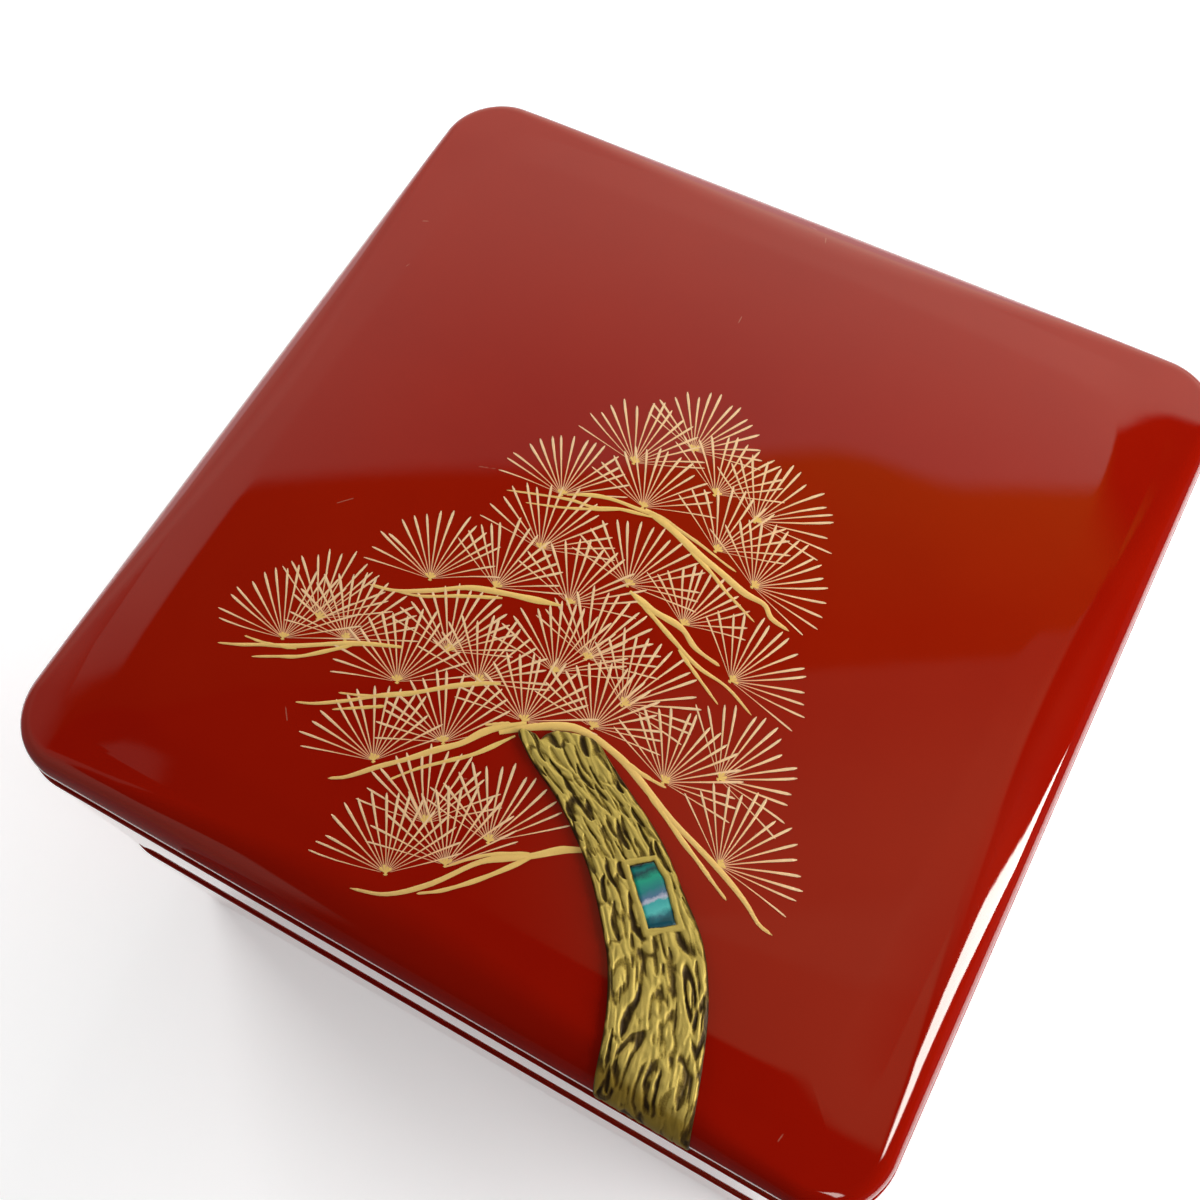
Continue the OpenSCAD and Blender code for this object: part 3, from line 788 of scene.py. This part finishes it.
# %% Lines of the boughs
# Each is its greatest width in millimetres, then its points
BOUGHS = [
    (0.9, [(2, 5.1), (-4.7, 3.7), (-9.3, 1.7), (-14.7, 1), (-20.7, -0.7), (-27.7, -2.9)]),
    (0.8, [(-4.7, 3.5), (-9.3, 1.3), (-15.3, -1.3), (-22.7, -3.7)]),
    (1.0, [(-16, 1.7), (-12, 3.7), (-7.3, 5), (-0.7, 5.5), (4, 5.9), (8.7, 5), (14, 4), (19.3, 2.7), (22.7, 2)]),
    (1.9, [(0, 6), (4.5, 5.2), (9.3, 3.7), (14, 2), (19.3, 0.7), (26, -1.3), (30.7, -1.7), (33.3, -3.7), (37.5, -4.5)]),
    (1.0, [(12.7, 1.7), (18, -0.3), (23.3, -3), (30.7, -6)]),
    (1.6, [(6, -11.6), (11.7, -13.1), (18.5, -13.8), (23.1, -16.3), (28.9, -17.4)]),
    (1.1, [(7.4, -12), (13.1, -14.5), (18.9, -17), (25.3, -19.5), (32.1, -20.6), (38.7, -23.4)]),
    (0.9, [(20.3, -18.1), (25.3, -20.9), (32.1, -24.5)]),
    (1.5, [(-4.7, -20.6), (-10.4, -22), (-16.1, -23.4), (-23.3, -25.6), (-29.7, -29.5), (-36.4, -32.8), (-42, -34)]),
    (0.9, [(-16, -24.5), (-24, -28), (-31, -31.5), (-37, -33)]),
    (1.8, [(-2.4, -49), (-0.2, -47.2), (2.4, -45.3), (6.3, -43), (10, -41.5), (14.1, -41.3), (18.6, -42.1), (22.5, -43.2),
        (28.4, -45.8), (35, -48.6), (42.3, -51), (48.4, -53.2), (53.7, -55.6), (57.3, -57.8), (60.4, -58.4)]),
    (1.2, [(27, -45.4), (31.7, -47.6), (38, -50.9), (42.5, -53), (46.7, -55.1), (50.3, -56.8)]),
    (1.1, [(19.5, -42.3), (23.5, -43.1), (27.3, -43.5), (31, -43.6)]),
    (1.2, [(-28.6, -42.6), (-35.7, -45.3), (-41.4, -48.1), (-48.6, -52.1), (-55, -54.9), (-59.3, -56.9),
        (-63.6, -58.5)]),
    (0.8, [(-47.9, -52.4), (-54.3, -54.2), (-59.3, -54.8)]),
    (1.0, [(-37.9, -46.7), (-41.4, -49.6), (-46.4, -53.5), (-50.7, -55.6), (-55.4, -57.9)]),
    (1.2, [(-7.1, -40.3), (-10.7, -42.1), (-15.7, -45.3), (-21.4, -49.6), (-27.1, -53.1), (-32.1, -56.7),
        (-37.9, -60.3), (-41.8, -61.9)]),
    (0.9, [(-20, -48.9), (-25, -52.1), (-30, -54.6), (-35, -56.4)]),
    (0.8, [(-25, -54.5), (-30, -57.4), (-34.3, -59.9)]),
    (1.6, [(1.4, -44.9), (-2.9, -48.1), (-5.4, -50.6), (-7.9, -54.2), (-11.4, -57.4), (-15.7, -61.7),
        (-20, -65.6), (-24.3, -69.9), (-27.5, -71.9)]),
    (1.0, [(0.7, -48.1), (-4.3, -54.6), (-8.6, -58.5), (-12.9, -62.4), (-16.8, -66.9)]),
    (0.9, [(-1.4, -46.4), (-5.7, -48.9)]),
    (1.6, [(25, -60.2), (21, -62.1), (18.7, -63.5), (14.8, -66.7), (10.9, -69.2), (6.6, -72.4), (0.7, -79.9),
        (-5.7, -85.3), (-12.6, -87.6)]),
    (1.1, [(15.7, -66), (9.3, -73.9), (3.6, -79.6), (-0.7, -82.6)]),
    (0.9, [(14.3, -66.4), (7.1, -70.6), (1.4, -76)]),
]
BOUGH_STATIONS = 40


def smooth_line(points, stations):
    """A line through the points: between neighbours it is a cubic whose slopes are half the
    distance between the points either side."""
    p = np.array(points, float)
    slope = np.gradient(p, axis=0)
    at = np.linspace(0, len(p) - 1, stations)
    k = np.minimum(at.astype(int), len(p) - 2)
    t = (at - k)[:, None]
    a, b, m, n = p[k], p[k + 1], slope[k], slope[k + 1]
    return ((2 * t ** 3 - 3 * t ** 2 + 1) * a + (t ** 3 - 2 * t ** 2 + t) * m
        + (3 * t ** 2 - 2 * t ** 3) * b + (t ** 3 - t ** 2) * n)


def boughs():
    """Each bough is one stroke, full at its start and thinning to its end, with an uneven edge."""
    lines = np.stack([smooth_line(points, BOUGH_STATIONS) for _, points in BOUGHS]) * MM
    full = np.array([w for w, _ in BOUGHS])[:, None] * MM
    t = np.linspace(0, 1, BOUGH_STATIONS)
    taper = (0.45 + 0.55 * np.minimum(t / 0.12, 1)) * (1 - 0.6 * t ** 2) * np.minimum((1 - t) / 0.03, 1) ** 0.5
    uneven = 1 + 0.12 * np.sin(t * 23 + np.arange(len(BOUGHS))[:, None] * 2.1)
    width = np.maximum(full * taper * uneven, 0.1 * MM)
    return strokes("pine_boughs", lines, width, np.broadcast_to(0.04 * t, width.shape))


boughs()

# %% [markdown]
# ## The trunk
# The trunk is modelled up from the lacquer, 1.5 mm high at most: broad ridges of bark between
# long hollows. It is a strip between two edges, laid out flat with the lid's front unrolled, so
# it can run down over the shoulder like paper over a table's edge. On the real lid the hollows
# are pressed into the raised ground one by one with a small tool, and so they are made here.

# %% Unroll the lid's front
tight_run = TIGHT_R * (np.pi / 2 - LEAN_1)
flat_run = flat_r * (LEAN_1 - LEAN_2)


def front_section(run):
    """Section point a distance run up the lid's front from its lower edge: upright, tight arc,
    flatter arc, then inwards over the dome."""
    a = np.pi / 2 - (run - SIDE_UP) / TIGHT_R
    b = LEAN_1 - (run - SIDE_UP - tight_run) / flat_r
    more = run - SIDE_UP - tight_run - flat_run
    cases = [run < SIDE_UP, run < SIDE_UP + tight_run, more < 0]
    inset = np.select(cases, [0 * run, TIGHT_R * (1 - np.sin(a)), flat_x - flat_r * np.sin(b)],
        SHOULDER_W + more)
    height = np.select(cases, [run, SIDE_UP + TIGHT_R * np.cos(a), SIDE_UP + flat_up + flat_r * np.cos(b)],
        SIDE_UP + flat_up + flat_r * math.cos(LEAN_2) + 0.09 * more)
    return inset, height


def wrap_on_front(x, run):
    """Places points of the unrolled front on the lid, with the lid's normal there."""
    inset, height = front_section(run)
    p = np.stack([x, -LID_HALF + inset, RIM_Z + height], -1)
    p = onto_lid(p, free=(0, 1, 1))
    return p, unit(lid_slope(p))


def run_of(y):
    """How far up the unrolled front a plan point y lies."""
    runs = np.linspace(SIDE_UP, 100 * MM, 2000)
    return np.interp(y + LID_HALF, front_section(runs)[0], runs)

# %% Edges of the trunk
TRUNK_END = [(1.2, -47.8), (0.7, -47), (1.3, -46.2), (3.9, -46), (5.4, -46.7), (5.8, -45.1), (7.3, -43.6),
    (9.5, -42.8), (12.2, -42.1), (14, -41.8), (16, -42.3), (17.5, -43.3)]
TRUNK_LEFT = [(1.2, -47.8), (6.3, -51.3), (13.3, -54.9), (20.8, -60.1), (26.5, -65), (32.8, -72.1), (37, -77.8),
    (41.1, -86.6), (43.9, -96.2)]
TRUNK_RIGHT = [(17.5, -43.3), (26.3, -48), (34.6, -52.7), (42.9, -59.4), (50.3, -66), (55.8, -74.7),
    (60, -85.7), (62.8, -94.6), (63.4, -96.5)]
SHELL_CORNERS = [(31.9, -59.8), (35.4, -57), (38.7, -59), (44.3, -65.1), (40.3, -68.2)]
FOOT_RUN = 1.2 * MM


def even_steps(line, stations):
    """Points at even steps along a line, and the line's length."""
    far = np.concatenate([[0], np.cumsum(np.linalg.norm(np.diff(line, axis=0), axis=1))])
    at = np.linspace(0, far[-1], stations)
    return np.stack([np.interp(at, far, line[:, k]) for k in range(2)], 1), far[-1]


def edge_line(points, stations):
    """The edge through the points on the unrolled front, then straight down to the foot."""
    line = smooth_line(points, 400) * MM
    line[:, 1] = run_of(line[:, 1])
    line = np.concatenate([line, [[line[-1, 0] + 0.3 * MM, FOOT_RUN]]])
    return even_steps(line, stations)

# %% Bark
def value_noise(u, v, seed):
    """Random values on whole-number crossings, joined by smooth steps, from 0 to 1."""
    table = np.random.default_rng(seed).random((64, 64))
    i, j = np.floor(u).astype(int), np.floor(v).astype(int)
    s, t = u - i, v - j
    s, t = s * s * (3 - 2 * s), t * t * (3 - 2 * t)
    pick = lambda a, b: table[a % 64, b % 64]
    return ((pick(i, j) * (1 - s) + pick(i + 1, j) * s) * (1 - t)
        + (pick(i, j + 1) * (1 - s) + pick(i + 1, j + 1) * s) * t)


BARK_WIDE = 21


def bark(along, share):
    """Rows of hollows down the trunk. Each is a long drop that leans and bends a little; lower down
    they are longer, and one in five is a long ring with a raised rim. Thin winding strands and fine
    lines run between them. along is millimetres from the top, share 0 to 1 across.
    Returns 0 in hollows, 1 on ridges."""
    chance = np.random.default_rng(3)
    across = share * BARK_WIDE + 1.6 * (value_noise(along / 7, share * 3, 3) - 0.5)
    across = across + 0.8 * (value_noise(along / 2.6, share * 8, 8) - 0.5)
    deepest, rims = np.zeros_like(across), np.zeros_like(across)
    start, row = 0.5, 0
    while start < 80:
        lower = float(soft_step(start, 26, 44))
        count = 6 if lower < 0.5 else 4
        for k in range(count):
            at = start + (1 + lower) * chance.uniform(-1.8, 1.8)
            middle = (k + 0.25 + 0.5 * (row % 2) + chance.uniform(-0.3, 0.3)) * BARK_WIDE / count
            half = chance.uniform(1.4, 3.6) * (1 + lower)
            slim = chance.uniform(0.35, 0.9) * (1 + 0.3 * lower)
            lean, deep = chance.uniform(-0.22, 0.22), chance.uniform(0.4, 1)
            t = (along - at) / half
            off = across - middle - lean * (along - at) - 0.5 * slim * t * t
            if lower > 0.5 and chance.random() < 0.2:
                reach = np.hypot((along - at) / chance.uniform(5.5, 8), off / chance.uniform(1.5, 2.2))
                cut = soft_step(reach, 0.3, 0.55) * (1 - soft_step(reach, 0.75, 0.98))
                rims = np.maximum(rims, np.exp(-((reach - 1.1) / 0.16) ** 2))
            else:
                body = slim * np.sqrt(np.clip(1 - t * t, 0, 1)) * (1 + 0.35 * t)
                cut = (1 - soft_step(np.abs(off) / np.maximum(body, 0.02), 0.4, 1.3)) * (np.abs(t) < 1)
            deepest = np.maximum(deepest, deep * cut)
        start, row = start + 3.6 + 3.4 * lower, row + 1
    winding = np.abs(2 * value_noise(along / 6 + 3, share * 9, 31) - 1)
    strand = (1 - soft_step(winding, 0, 0.3)) * value_noise(along / 3, share * 5, 17)
    fine = 1 - soft_step(np.abs(2 * value_noise(along / 5, share * 34, 32) - 1), 0, 0.4)
    deepest = np.maximum(deepest * (0.75 + 0.5 * value_noise(along / 1.2, share * 16, 14)), strand)
    return np.clip(1 - deepest * (1 - 0.7 * rims) - 0.25 * fine, 0, 1)

# %% Slabs
def slab(top, bottom):
    """Two equal grids closed at their rims. Returns points, quads, and a normal for each face
    corner: smooth over the top, flat elsewhere."""
    rows, columns = top.shape[:2]
    count = rows * columns
    points = np.concatenate([top.reshape(-1, 3), bottom.reshape(-1, 3)])
    faces = grid_faces(rows, columns)
    number = np.arange(count).reshape(rows, columns)
    border = np.concatenate([number[0, :-1], number[:-1, -1], number[-1, :0:-1], number[:0:-1, 0]])
    wall = np.stack([border, border + count, np.roll(border, -1) + count, np.roll(border, -1)], 1)
    quads = np.concatenate([faces[:, ::-1], faces + count, wall])
    p = points[quads]
    flat = np.cross(p[:, 2] - p[:, 0], p[:, 3] - p[:, 1])
    smooth = np.zeros_like(points)
    np.add.at(smooth, faces.ravel(), np.repeat(flat[:len(faces)], 4, 0))
    normals = np.repeat(flat[:, None], 4, 1)
    normals[:len(faces)] = smooth[quads[:len(faces)]]
    return points, quads, normals

# %% Trunk
TRUNK_ROWS = 430
TRUNK_COLUMNS = 84
RELIEF = 1.45 * MM
FRONT_RELIEF = 0.5 * MM


def inside_outline(x, y, corners):
    """Least distance in millimetres in from the sides of a convex outline, negative outside."""
    c = np.array(corners)
    d = np.roll(c, -1, 0) - c
    n = unit(np.stack([d[:, 1], -d[:, 0]], 1))
    gaps = (x[..., None] - c[:, 0]) * n[:, 0] + (y[..., None] - c[:, 1]) * n[:, 1]
    return gaps.min(-1)


def trunk():
    """Between the two edges, raised along the lid's normal by a crowned height times the bark."""
    left, _ = edge_line(TRUNK_LEFT, TRUNK_ROWS)
    right, length = edge_line(TRUNK_RIGHT, TRUNK_ROWS)
    share = 0.25 - 0.25 * np.cos(np.linspace(0, np.pi, TRUNK_COLUMNS)) + 0.5 * np.linspace(0, 1, TRUNK_COLUMNS)
    flat = left[:, None] * (1 - share[:, None]) + right[:, None] * share[:, None]
    along = np.linspace(0, length, TRUNK_ROWS)[:, None] / MM
    end = np.array(TRUNK_END) * MM
    end[:, 1] = run_of(end[:, 1])
    end_line = np.stack([np.interp(share, np.linspace(0, 1, 200), column) for column in even_steps(end, 200)[0].T], 1)
    flat = flat + (end_line - flat[0])[None] * (1 - soft_step(along, 0, 9))[..., None]
    wide = np.linalg.norm(right - left, axis=1)[:, None] / MM
    on, up = wrap_on_front(flat[..., 0], flat[..., 1])
    ridge = bark(np.broadcast_to(along, flat.shape[:2]), np.broadcast_to(share, flat.shape[:2]))
    rim = np.minimum(np.minimum(share, 1 - share) * wide, np.minimum(along, length / MM - along))
    rise = np.sqrt(1 - (1 - np.clip(rim / 0.8, 0, 1)) ** 2)
    gap = inside_outline(on[..., 0] / MM, on[..., 1] / MM, SHELL_CORNERS)
    gap = gap + 0.25 * (value_noise(along / 1.7, share * 9, 2) - 0.5)
    broad = 0.5 + 0.5 * value_noise(along / 2.5, share * 6, 9)
    frame_ridge = np.clip(1.2 - ((gap + 0.6) / broad) ** 2, 0, 1)
    ridge = np.maximum(ridge * soft_step(-gap, 0.4, 1.5), frame_ridge)
    room = RELIEF + (FRONT_RELIEF - RELIEF) * np.clip(1 - up[..., 2], 0, 1) ** 0.7
    shape = np.where(gap > 0, 0.5, rise * (0.58 + 0.42 * ridge))
    top = on + up * (room * shape)[..., None]
    # Painted shade: 1 where the trunk turns down over the lid's front, so the gold is drawn darker there.
    shaded_foot = soft_step(1 - up[..., 2], 0.005, 0.2)
    # The tone also darkens within about a millimetre of the trunk's edges, unevenly.
    tone = ridge * soft_step(rim + 0.6 * value_noise(along / 1.5, share * 20, 4), 0.3, 1.1)
    points, quads, normals = slab(top, on - up * 0.15 * MM)
    return make_piece("pine_trunk", points, [(quads, normals, 0)], [BARK], "lid", ["trunk_relief"],
        {"ridge": np.tile(tone.ravel(), 2), "shaded_foot": np.tile(shaded_foot.ravel(), 2)})


trunk_piece = trunk()
print("trunk", len(trunk_piece.data.polygons), "faces")

# %% Shell chip
def shell_chip():
    """A thin tile, straight on the left and bowed on the right, that sits in the bark's pocket."""
    s, t = np.meshgrid(np.linspace(0, 1, 36), np.linspace(0, 1, 20), indexing="ij")
    a, b, bow, c, d = (np.array(p) * MM for p in SHELL_CORNERS)
    left = a + (d - a) * s[..., None]
    right = np.where(s[..., None] < 0.35, b + (bow - b) * s[..., None] / 0.35, bow + (c - bow) * (s[..., None] - 0.35) / 0.65)
    flat = left + (right - left) * t[..., None]
    on, up = lid_height(flat[..., 0], flat[..., 1])
    rim = np.minimum.reduce([s, 1 - s, t, 1 - t]) * 8
    crown = 0.95 * MM + 0.2 * MM * np.sqrt(1 - (1 - np.clip(rim, 0, 1)) ** 2)
    points, quads, normals = slab(on + up * crown[..., None], on + up * 0.65 * MM)
    band = np.tile((s + 0.06 * (t - 0.5)).ravel(), 2)
    return make_piece("shell_chip", points, [(quads, normals, 0)], [SHELL], "lid", ["shell_inlay"],
        {"band": band})


shell_chip()

# %% [markdown]
# ## What stays of the frame
# The splines across the mitres keep their own meshes and only get their wood.

# %% Wood on the splines
for name in ("lower_corner_splines", "upper_corner_splines", "lid_corner_splines"):
    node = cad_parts[name]
    node.data.materials.clear()
    node.data.materials.append(WOOD)

# %% [markdown]
# ## Camera
# The photograph looks down on the lid's front left edge from close by, turned a little.

# %% Camera
CAMERA_AT = Vector((0.0694, -0.1108, 0.3865))
LOOKS_ALONG = Vector((-0.2433, 0.3402, -0.9083))
PICTURE_UP = Vector((-0.4206, 0.8068, 0.4149))
camera_data = bpy.data.cameras.new("camera")
camera_data.sensor_width = 36
camera_data.lens = 42.12
camera_data.clip_start = 0.01
camera = bpy.data.objects.new("camera", camera_data)
bpy.context.scene.collection.objects.link(camera)
back = -LOOKS_ALONG.normalized()
right = PICTURE_UP.cross(back).normalized()
turn = Matrix((right, back.cross(right), back)).transposed()
camera.matrix_world = Matrix.Translation(CAMERA_AT) @ turn.to_4x4()
bpy.context.scene.camera = camera

# %% [markdown]
# ## Studio
# A mirror finish is mostly a picture of the room. The room here has a pale floor, a bright wall
# behind, brightest on the right, a dark side towards the viewer, and a narrow window on the right
# that draws the white streak along the lid's shoulder. It is one half sphere that only reflections
# see, and how bright it is in each direction is a sum of soft-edged patches.

# %% Floor
floor_data = bpy.data.meshes.new("floor")
floor_data.from_pydata([(-4, -4, 0), (4, -4, 0), (4, 4, 0), (-4, 4, 0)], [], [(0, 1, 2, 3)])
floor = bpy.data.objects.new("floor", floor_data)
bpy.context.scene.collection.objects.link(floor)
floor_material, tree, shader = new_material("pale_floor")
set_inputs(shader, Base_Color=(0.92, 0.92, 0.92, 1), Roughness=1, Specular_IOR_Level=0)
# Painted light: for the camera and for reflections the floor also glows, evenly near the box and more strongly from
# about half a metre out.
path = add_node(tree, "ShaderNodeLightPath")
seen = add_node(tree, "ShaderNodeMath", {0: path.outputs["Is Camera Ray"], 1: path.outputs["Is Glossy Ray"]},
    operation="MAXIMUM")
far = add_node(tree, "ShaderNodeVectorMath", {0: object_coordinates(tree)}, operation="LENGTH")
glow_by_distance = ramp(tree, far.outputs["Value"], [(0.45, (0.36, 0.36, 0.36)), (1.0, (0.8, 0.8, 0.8))])
lift = add_node(tree, "ShaderNodeMath", {0: seen.outputs[0], 1: glow_by_distance}, operation="MULTIPLY")
glow = add_node(tree, "ShaderNodeEmission", {"Strength": lift.outputs[0]})
both = add_node(tree, "ShaderNodeAddShader", {0: shader.outputs[0], 1: glow.outputs[0]})
tree.links.new(both.outputs[0], tree.nodes["Material Output"].inputs["Surface"])
floor_data.materials.append(floor_material)

# %% Light of the room by direction
AWAY = np.array([-0.582, 0.813, 0])
ASIDE = np.array([0.813, 0.582, 0])


def room_light(around, height):
    """around is degrees from straight behind towards the right, height is degrees above the floor.
    x and y are where that line of sight would meet a ceiling one unit up: aside and away."""
    x = np.sin(np.radians(around)) / np.tan(np.radians(np.maximum(height, 1)))
    y = np.cos(np.radians(around)) / np.tan(np.radians(np.maximum(height, 1)))
    left_top = 48 + 7 * soft_step(-around, 66, 70) - 0.5 * np.maximum(-around - 72, 0)
    wall_foot = 0.6 + 0.22 * np.clip(-x, 0, 0.5) - 0.07 * soft_step(x, 0.3, 0.5) + 0.12 * soft_step(x, 0.72, 0.8)
    in_wall = np.maximum(soft_step(y - wall_foot, -0.02, 0.02),
        (1 - soft_step(around, -38, -35)) * (1 - soft_step(height - left_top, -1, 1)))
    wall = 0.4 + 0.45 * soft_step(around, -62, -45) + 0.6 * soft_step(around, -15, 30)
    wall = wall * (1 - 0.5 * soft_step(height, 36, 58)) * soft_step(around, -127, -122)
    wall = wall * (1 - 0.38 * (1 - soft_step(height, 14, 36)) * (1 - soft_step(around, -18, -8)))
    wall = wall * in_wall * (1 - soft_step(around, 57, 61))
    above = (1 - in_wall) * (1 - soft_step(around, 85, 115) * (1 - soft_step(height, 64, 74)))
    above = above * soft_step(height, 36, 52) * soft_step(y + 0.13 + 0.6 * x, -0.02, 0.02)
    above = above * (1 - soft_step(x, 0.7, 0.82))
    high = 0.14 + 1.2 * np.clip(y - 0.32, 0, 0.3) + 0.3 * np.clip(x - 0.3, 0, 0.35)
    high = above * high * (0.15 + 0.85 * soft_step(x, -0.1, 0.35))
    low = 0.36 * soft_step(x, -0.25, 0.1) + 0.4 * np.clip(x - 0.1, 0, 0.3)
    low = above * low * (1 - 0.35 * soft_step(y, 0.05, 0.25))
    upper = soft_step(y - 0.27 - 0.2 * np.clip(-x, 0, 0.5), -0.01, 0.01)
    high, low = high * upper, low * (1 - upper)
    beside = 0.08 * soft_step(around, 88, 100) * (1 - soft_step(around, 112, 118)) * soft_step(height, 12, 35)
    window = soft_step(-0.19 - 0.235 * x - y, 0, 0.02) * (1 - soft_step(-0.29 - 0.333 * x - y, -0.02, 0.05))
    window = 22 * window * soft_step(x, 0.4, 0.6)
    slit = 9 * soft_step(around, 164, 166) * (1 - soft_step(around, 170, 172))
    slit = slit * soft_step(height, 36, 42) * (1 - soft_step(height, 60, 64))
    parts = [(0.02 + wall, (1, 0.97, 0.8)), (high, (1, 0.8, 0.08)), (low, (1, 0.95, 0.5)), (beside, (1, 0.95, 0.6)),
        (window + slit, (1, 0.97, 0.9))]
    return sum(strength[..., None] * np.array(tint) for strength, tint in parts)

# %% Room seen in reflections
def mirror_only(name, points, faces, light):
    """A glowing surface that only reflections see; light is its colour at each point."""
    mesh = bpy.data.meshes.new(name)
    mesh.from_pydata(points.tolist(), [], faces.tolist())
    layer = mesh.attributes.new("light", "FLOAT_VECTOR", "POINT")
    layer.data.foreach_set("vector", light.astype(np.float32).ravel())
    made = bpy.data.objects.new(name, mesh)
    bpy.context.scene.collection.objects.link(made)
    material = bpy.data.materials.new(name)
    material.use_nodes = True
    tree = material.node_tree
    tree.nodes.clear()
    colour = add_node(tree, "ShaderNodeAttribute", attribute_name="light").outputs["Vector"]
    glow = add_node(tree, "ShaderNodeEmission", {"Color": colour})
    add_node(tree, "ShaderNodeOutputMaterial", {"Surface": glow.outputs[0]})
    mesh.materials.append(material)
    made.visible_camera = False
    made.visible_diffuse = False
    made.visible_shadow = False
    made.visible_transmission = False


ROOM_R = 3
around, height = np.meshgrid(np.arange(-180, 180, 0.5), np.linspace(0, 89.5, 180))
a, h = np.radians(around)[..., None], np.radians(height)[..., None]
sphere = ROOM_R * (np.cos(h) * (np.sin(a) * ASIDE + np.cos(a) * AWAY) + np.sin(h) * np.array([0, 0, 1]))
mirror_only("room", sphere.reshape(-1, 3), grid_faces(*around.shape, close_columns=True), room_light(around, height))
# The white table ends close in front and on the right. The room's floor is dark, dim on the left
TABLE_FRONT, TABLE_RIGHT = -0.15, 0.26
ground = np.array([(3, -3, MM), (3, TABLE_FRONT, MM), (-0.1, TABLE_FRONT, MM), (-1.1, -3, MM),
    (TABLE_RIGHT, TABLE_FRONT, MM), (3, TABLE_FRONT, MM), (3, 3, MM), (TABLE_RIGHT, 3, MM),
    (-1.1, -3, MM), (-0.1, TABLE_FRONT, MM), (-3, TABLE_FRONT, MM), (-3, -3, MM)])
ground_light = np.repeat([0.06, 0.06, 0.2], 4)[:, None] * np.ones(3)
mirror_only("room_floor", ground, np.arange(12).reshape(3, 4), ground_light)

# %% Lamps
def soft_lamp(name, at, size, radiance):
    """A square lamp aimed at the lid. Its power is radiance times area times pi."""
    data = bpy.data.lights.new(name, "AREA")
    data.shape = "SQUARE"
    data.size = size
    data.energy = radiance * size * size * math.pi
    made = bpy.data.objects.new(name, data)
    bpy.context.scene.collection.objects.link(made)
    made.location = at
    aim = Vector((0, 0, RIM_Z)) - Vector(at)
    made.rotation_euler = aim.to_track_quat("-Z", "Y").to_euler()
    made.visible_glossy = False
    made.visible_camera = False


soft_lamp("left_lamp", (-0.5, 0.15, 0.32), 0.3, 5.8)
soft_lamp("back_lamp", (0, 0.5, 0.32), 0.3, 4.6)
soft_lamp("right_lamp", (0.5, 0.02, 0.32), 0.3, 8.6)

# %% World
world = bpy.data.worlds.new("studio")
bpy.context.scene.world = world
world.use_nodes = True
tree = world.node_tree
tree.nodes.clear()
path = add_node(tree, "ShaderNodeLightPath")
seen = add_node(tree, "ShaderNodeMath", {0: path.outputs["Is Camera Ray"], 1: path.outputs["Is Glossy Ray"]},
    operation="MAXIMUM")
seen = add_node(tree, "ShaderNodeMath", {0: seen.outputs[0], 1: path.outputs["Is Transmission Ray"]},
    operation="MAXIMUM")
fill = add_node(tree, "ShaderNodeBackground", {"Color": (1, 1, 1, 1), "Strength": 0.25})
white = add_node(tree, "ShaderNodeBackground", {"Color": (1, 1, 1, 1), "Strength": 1.0})
chosen = add_node(tree, "ShaderNodeMixShader", {0: seen.outputs[0], 1: fill.outputs[0], 2: white.outputs[0]})
add_node(tree, "ShaderNodeOutputWorld", {"Surface": chosen.outputs[0]})

# %% Finish
bpy.context.scene.view_settings.view_transform = "Standard"
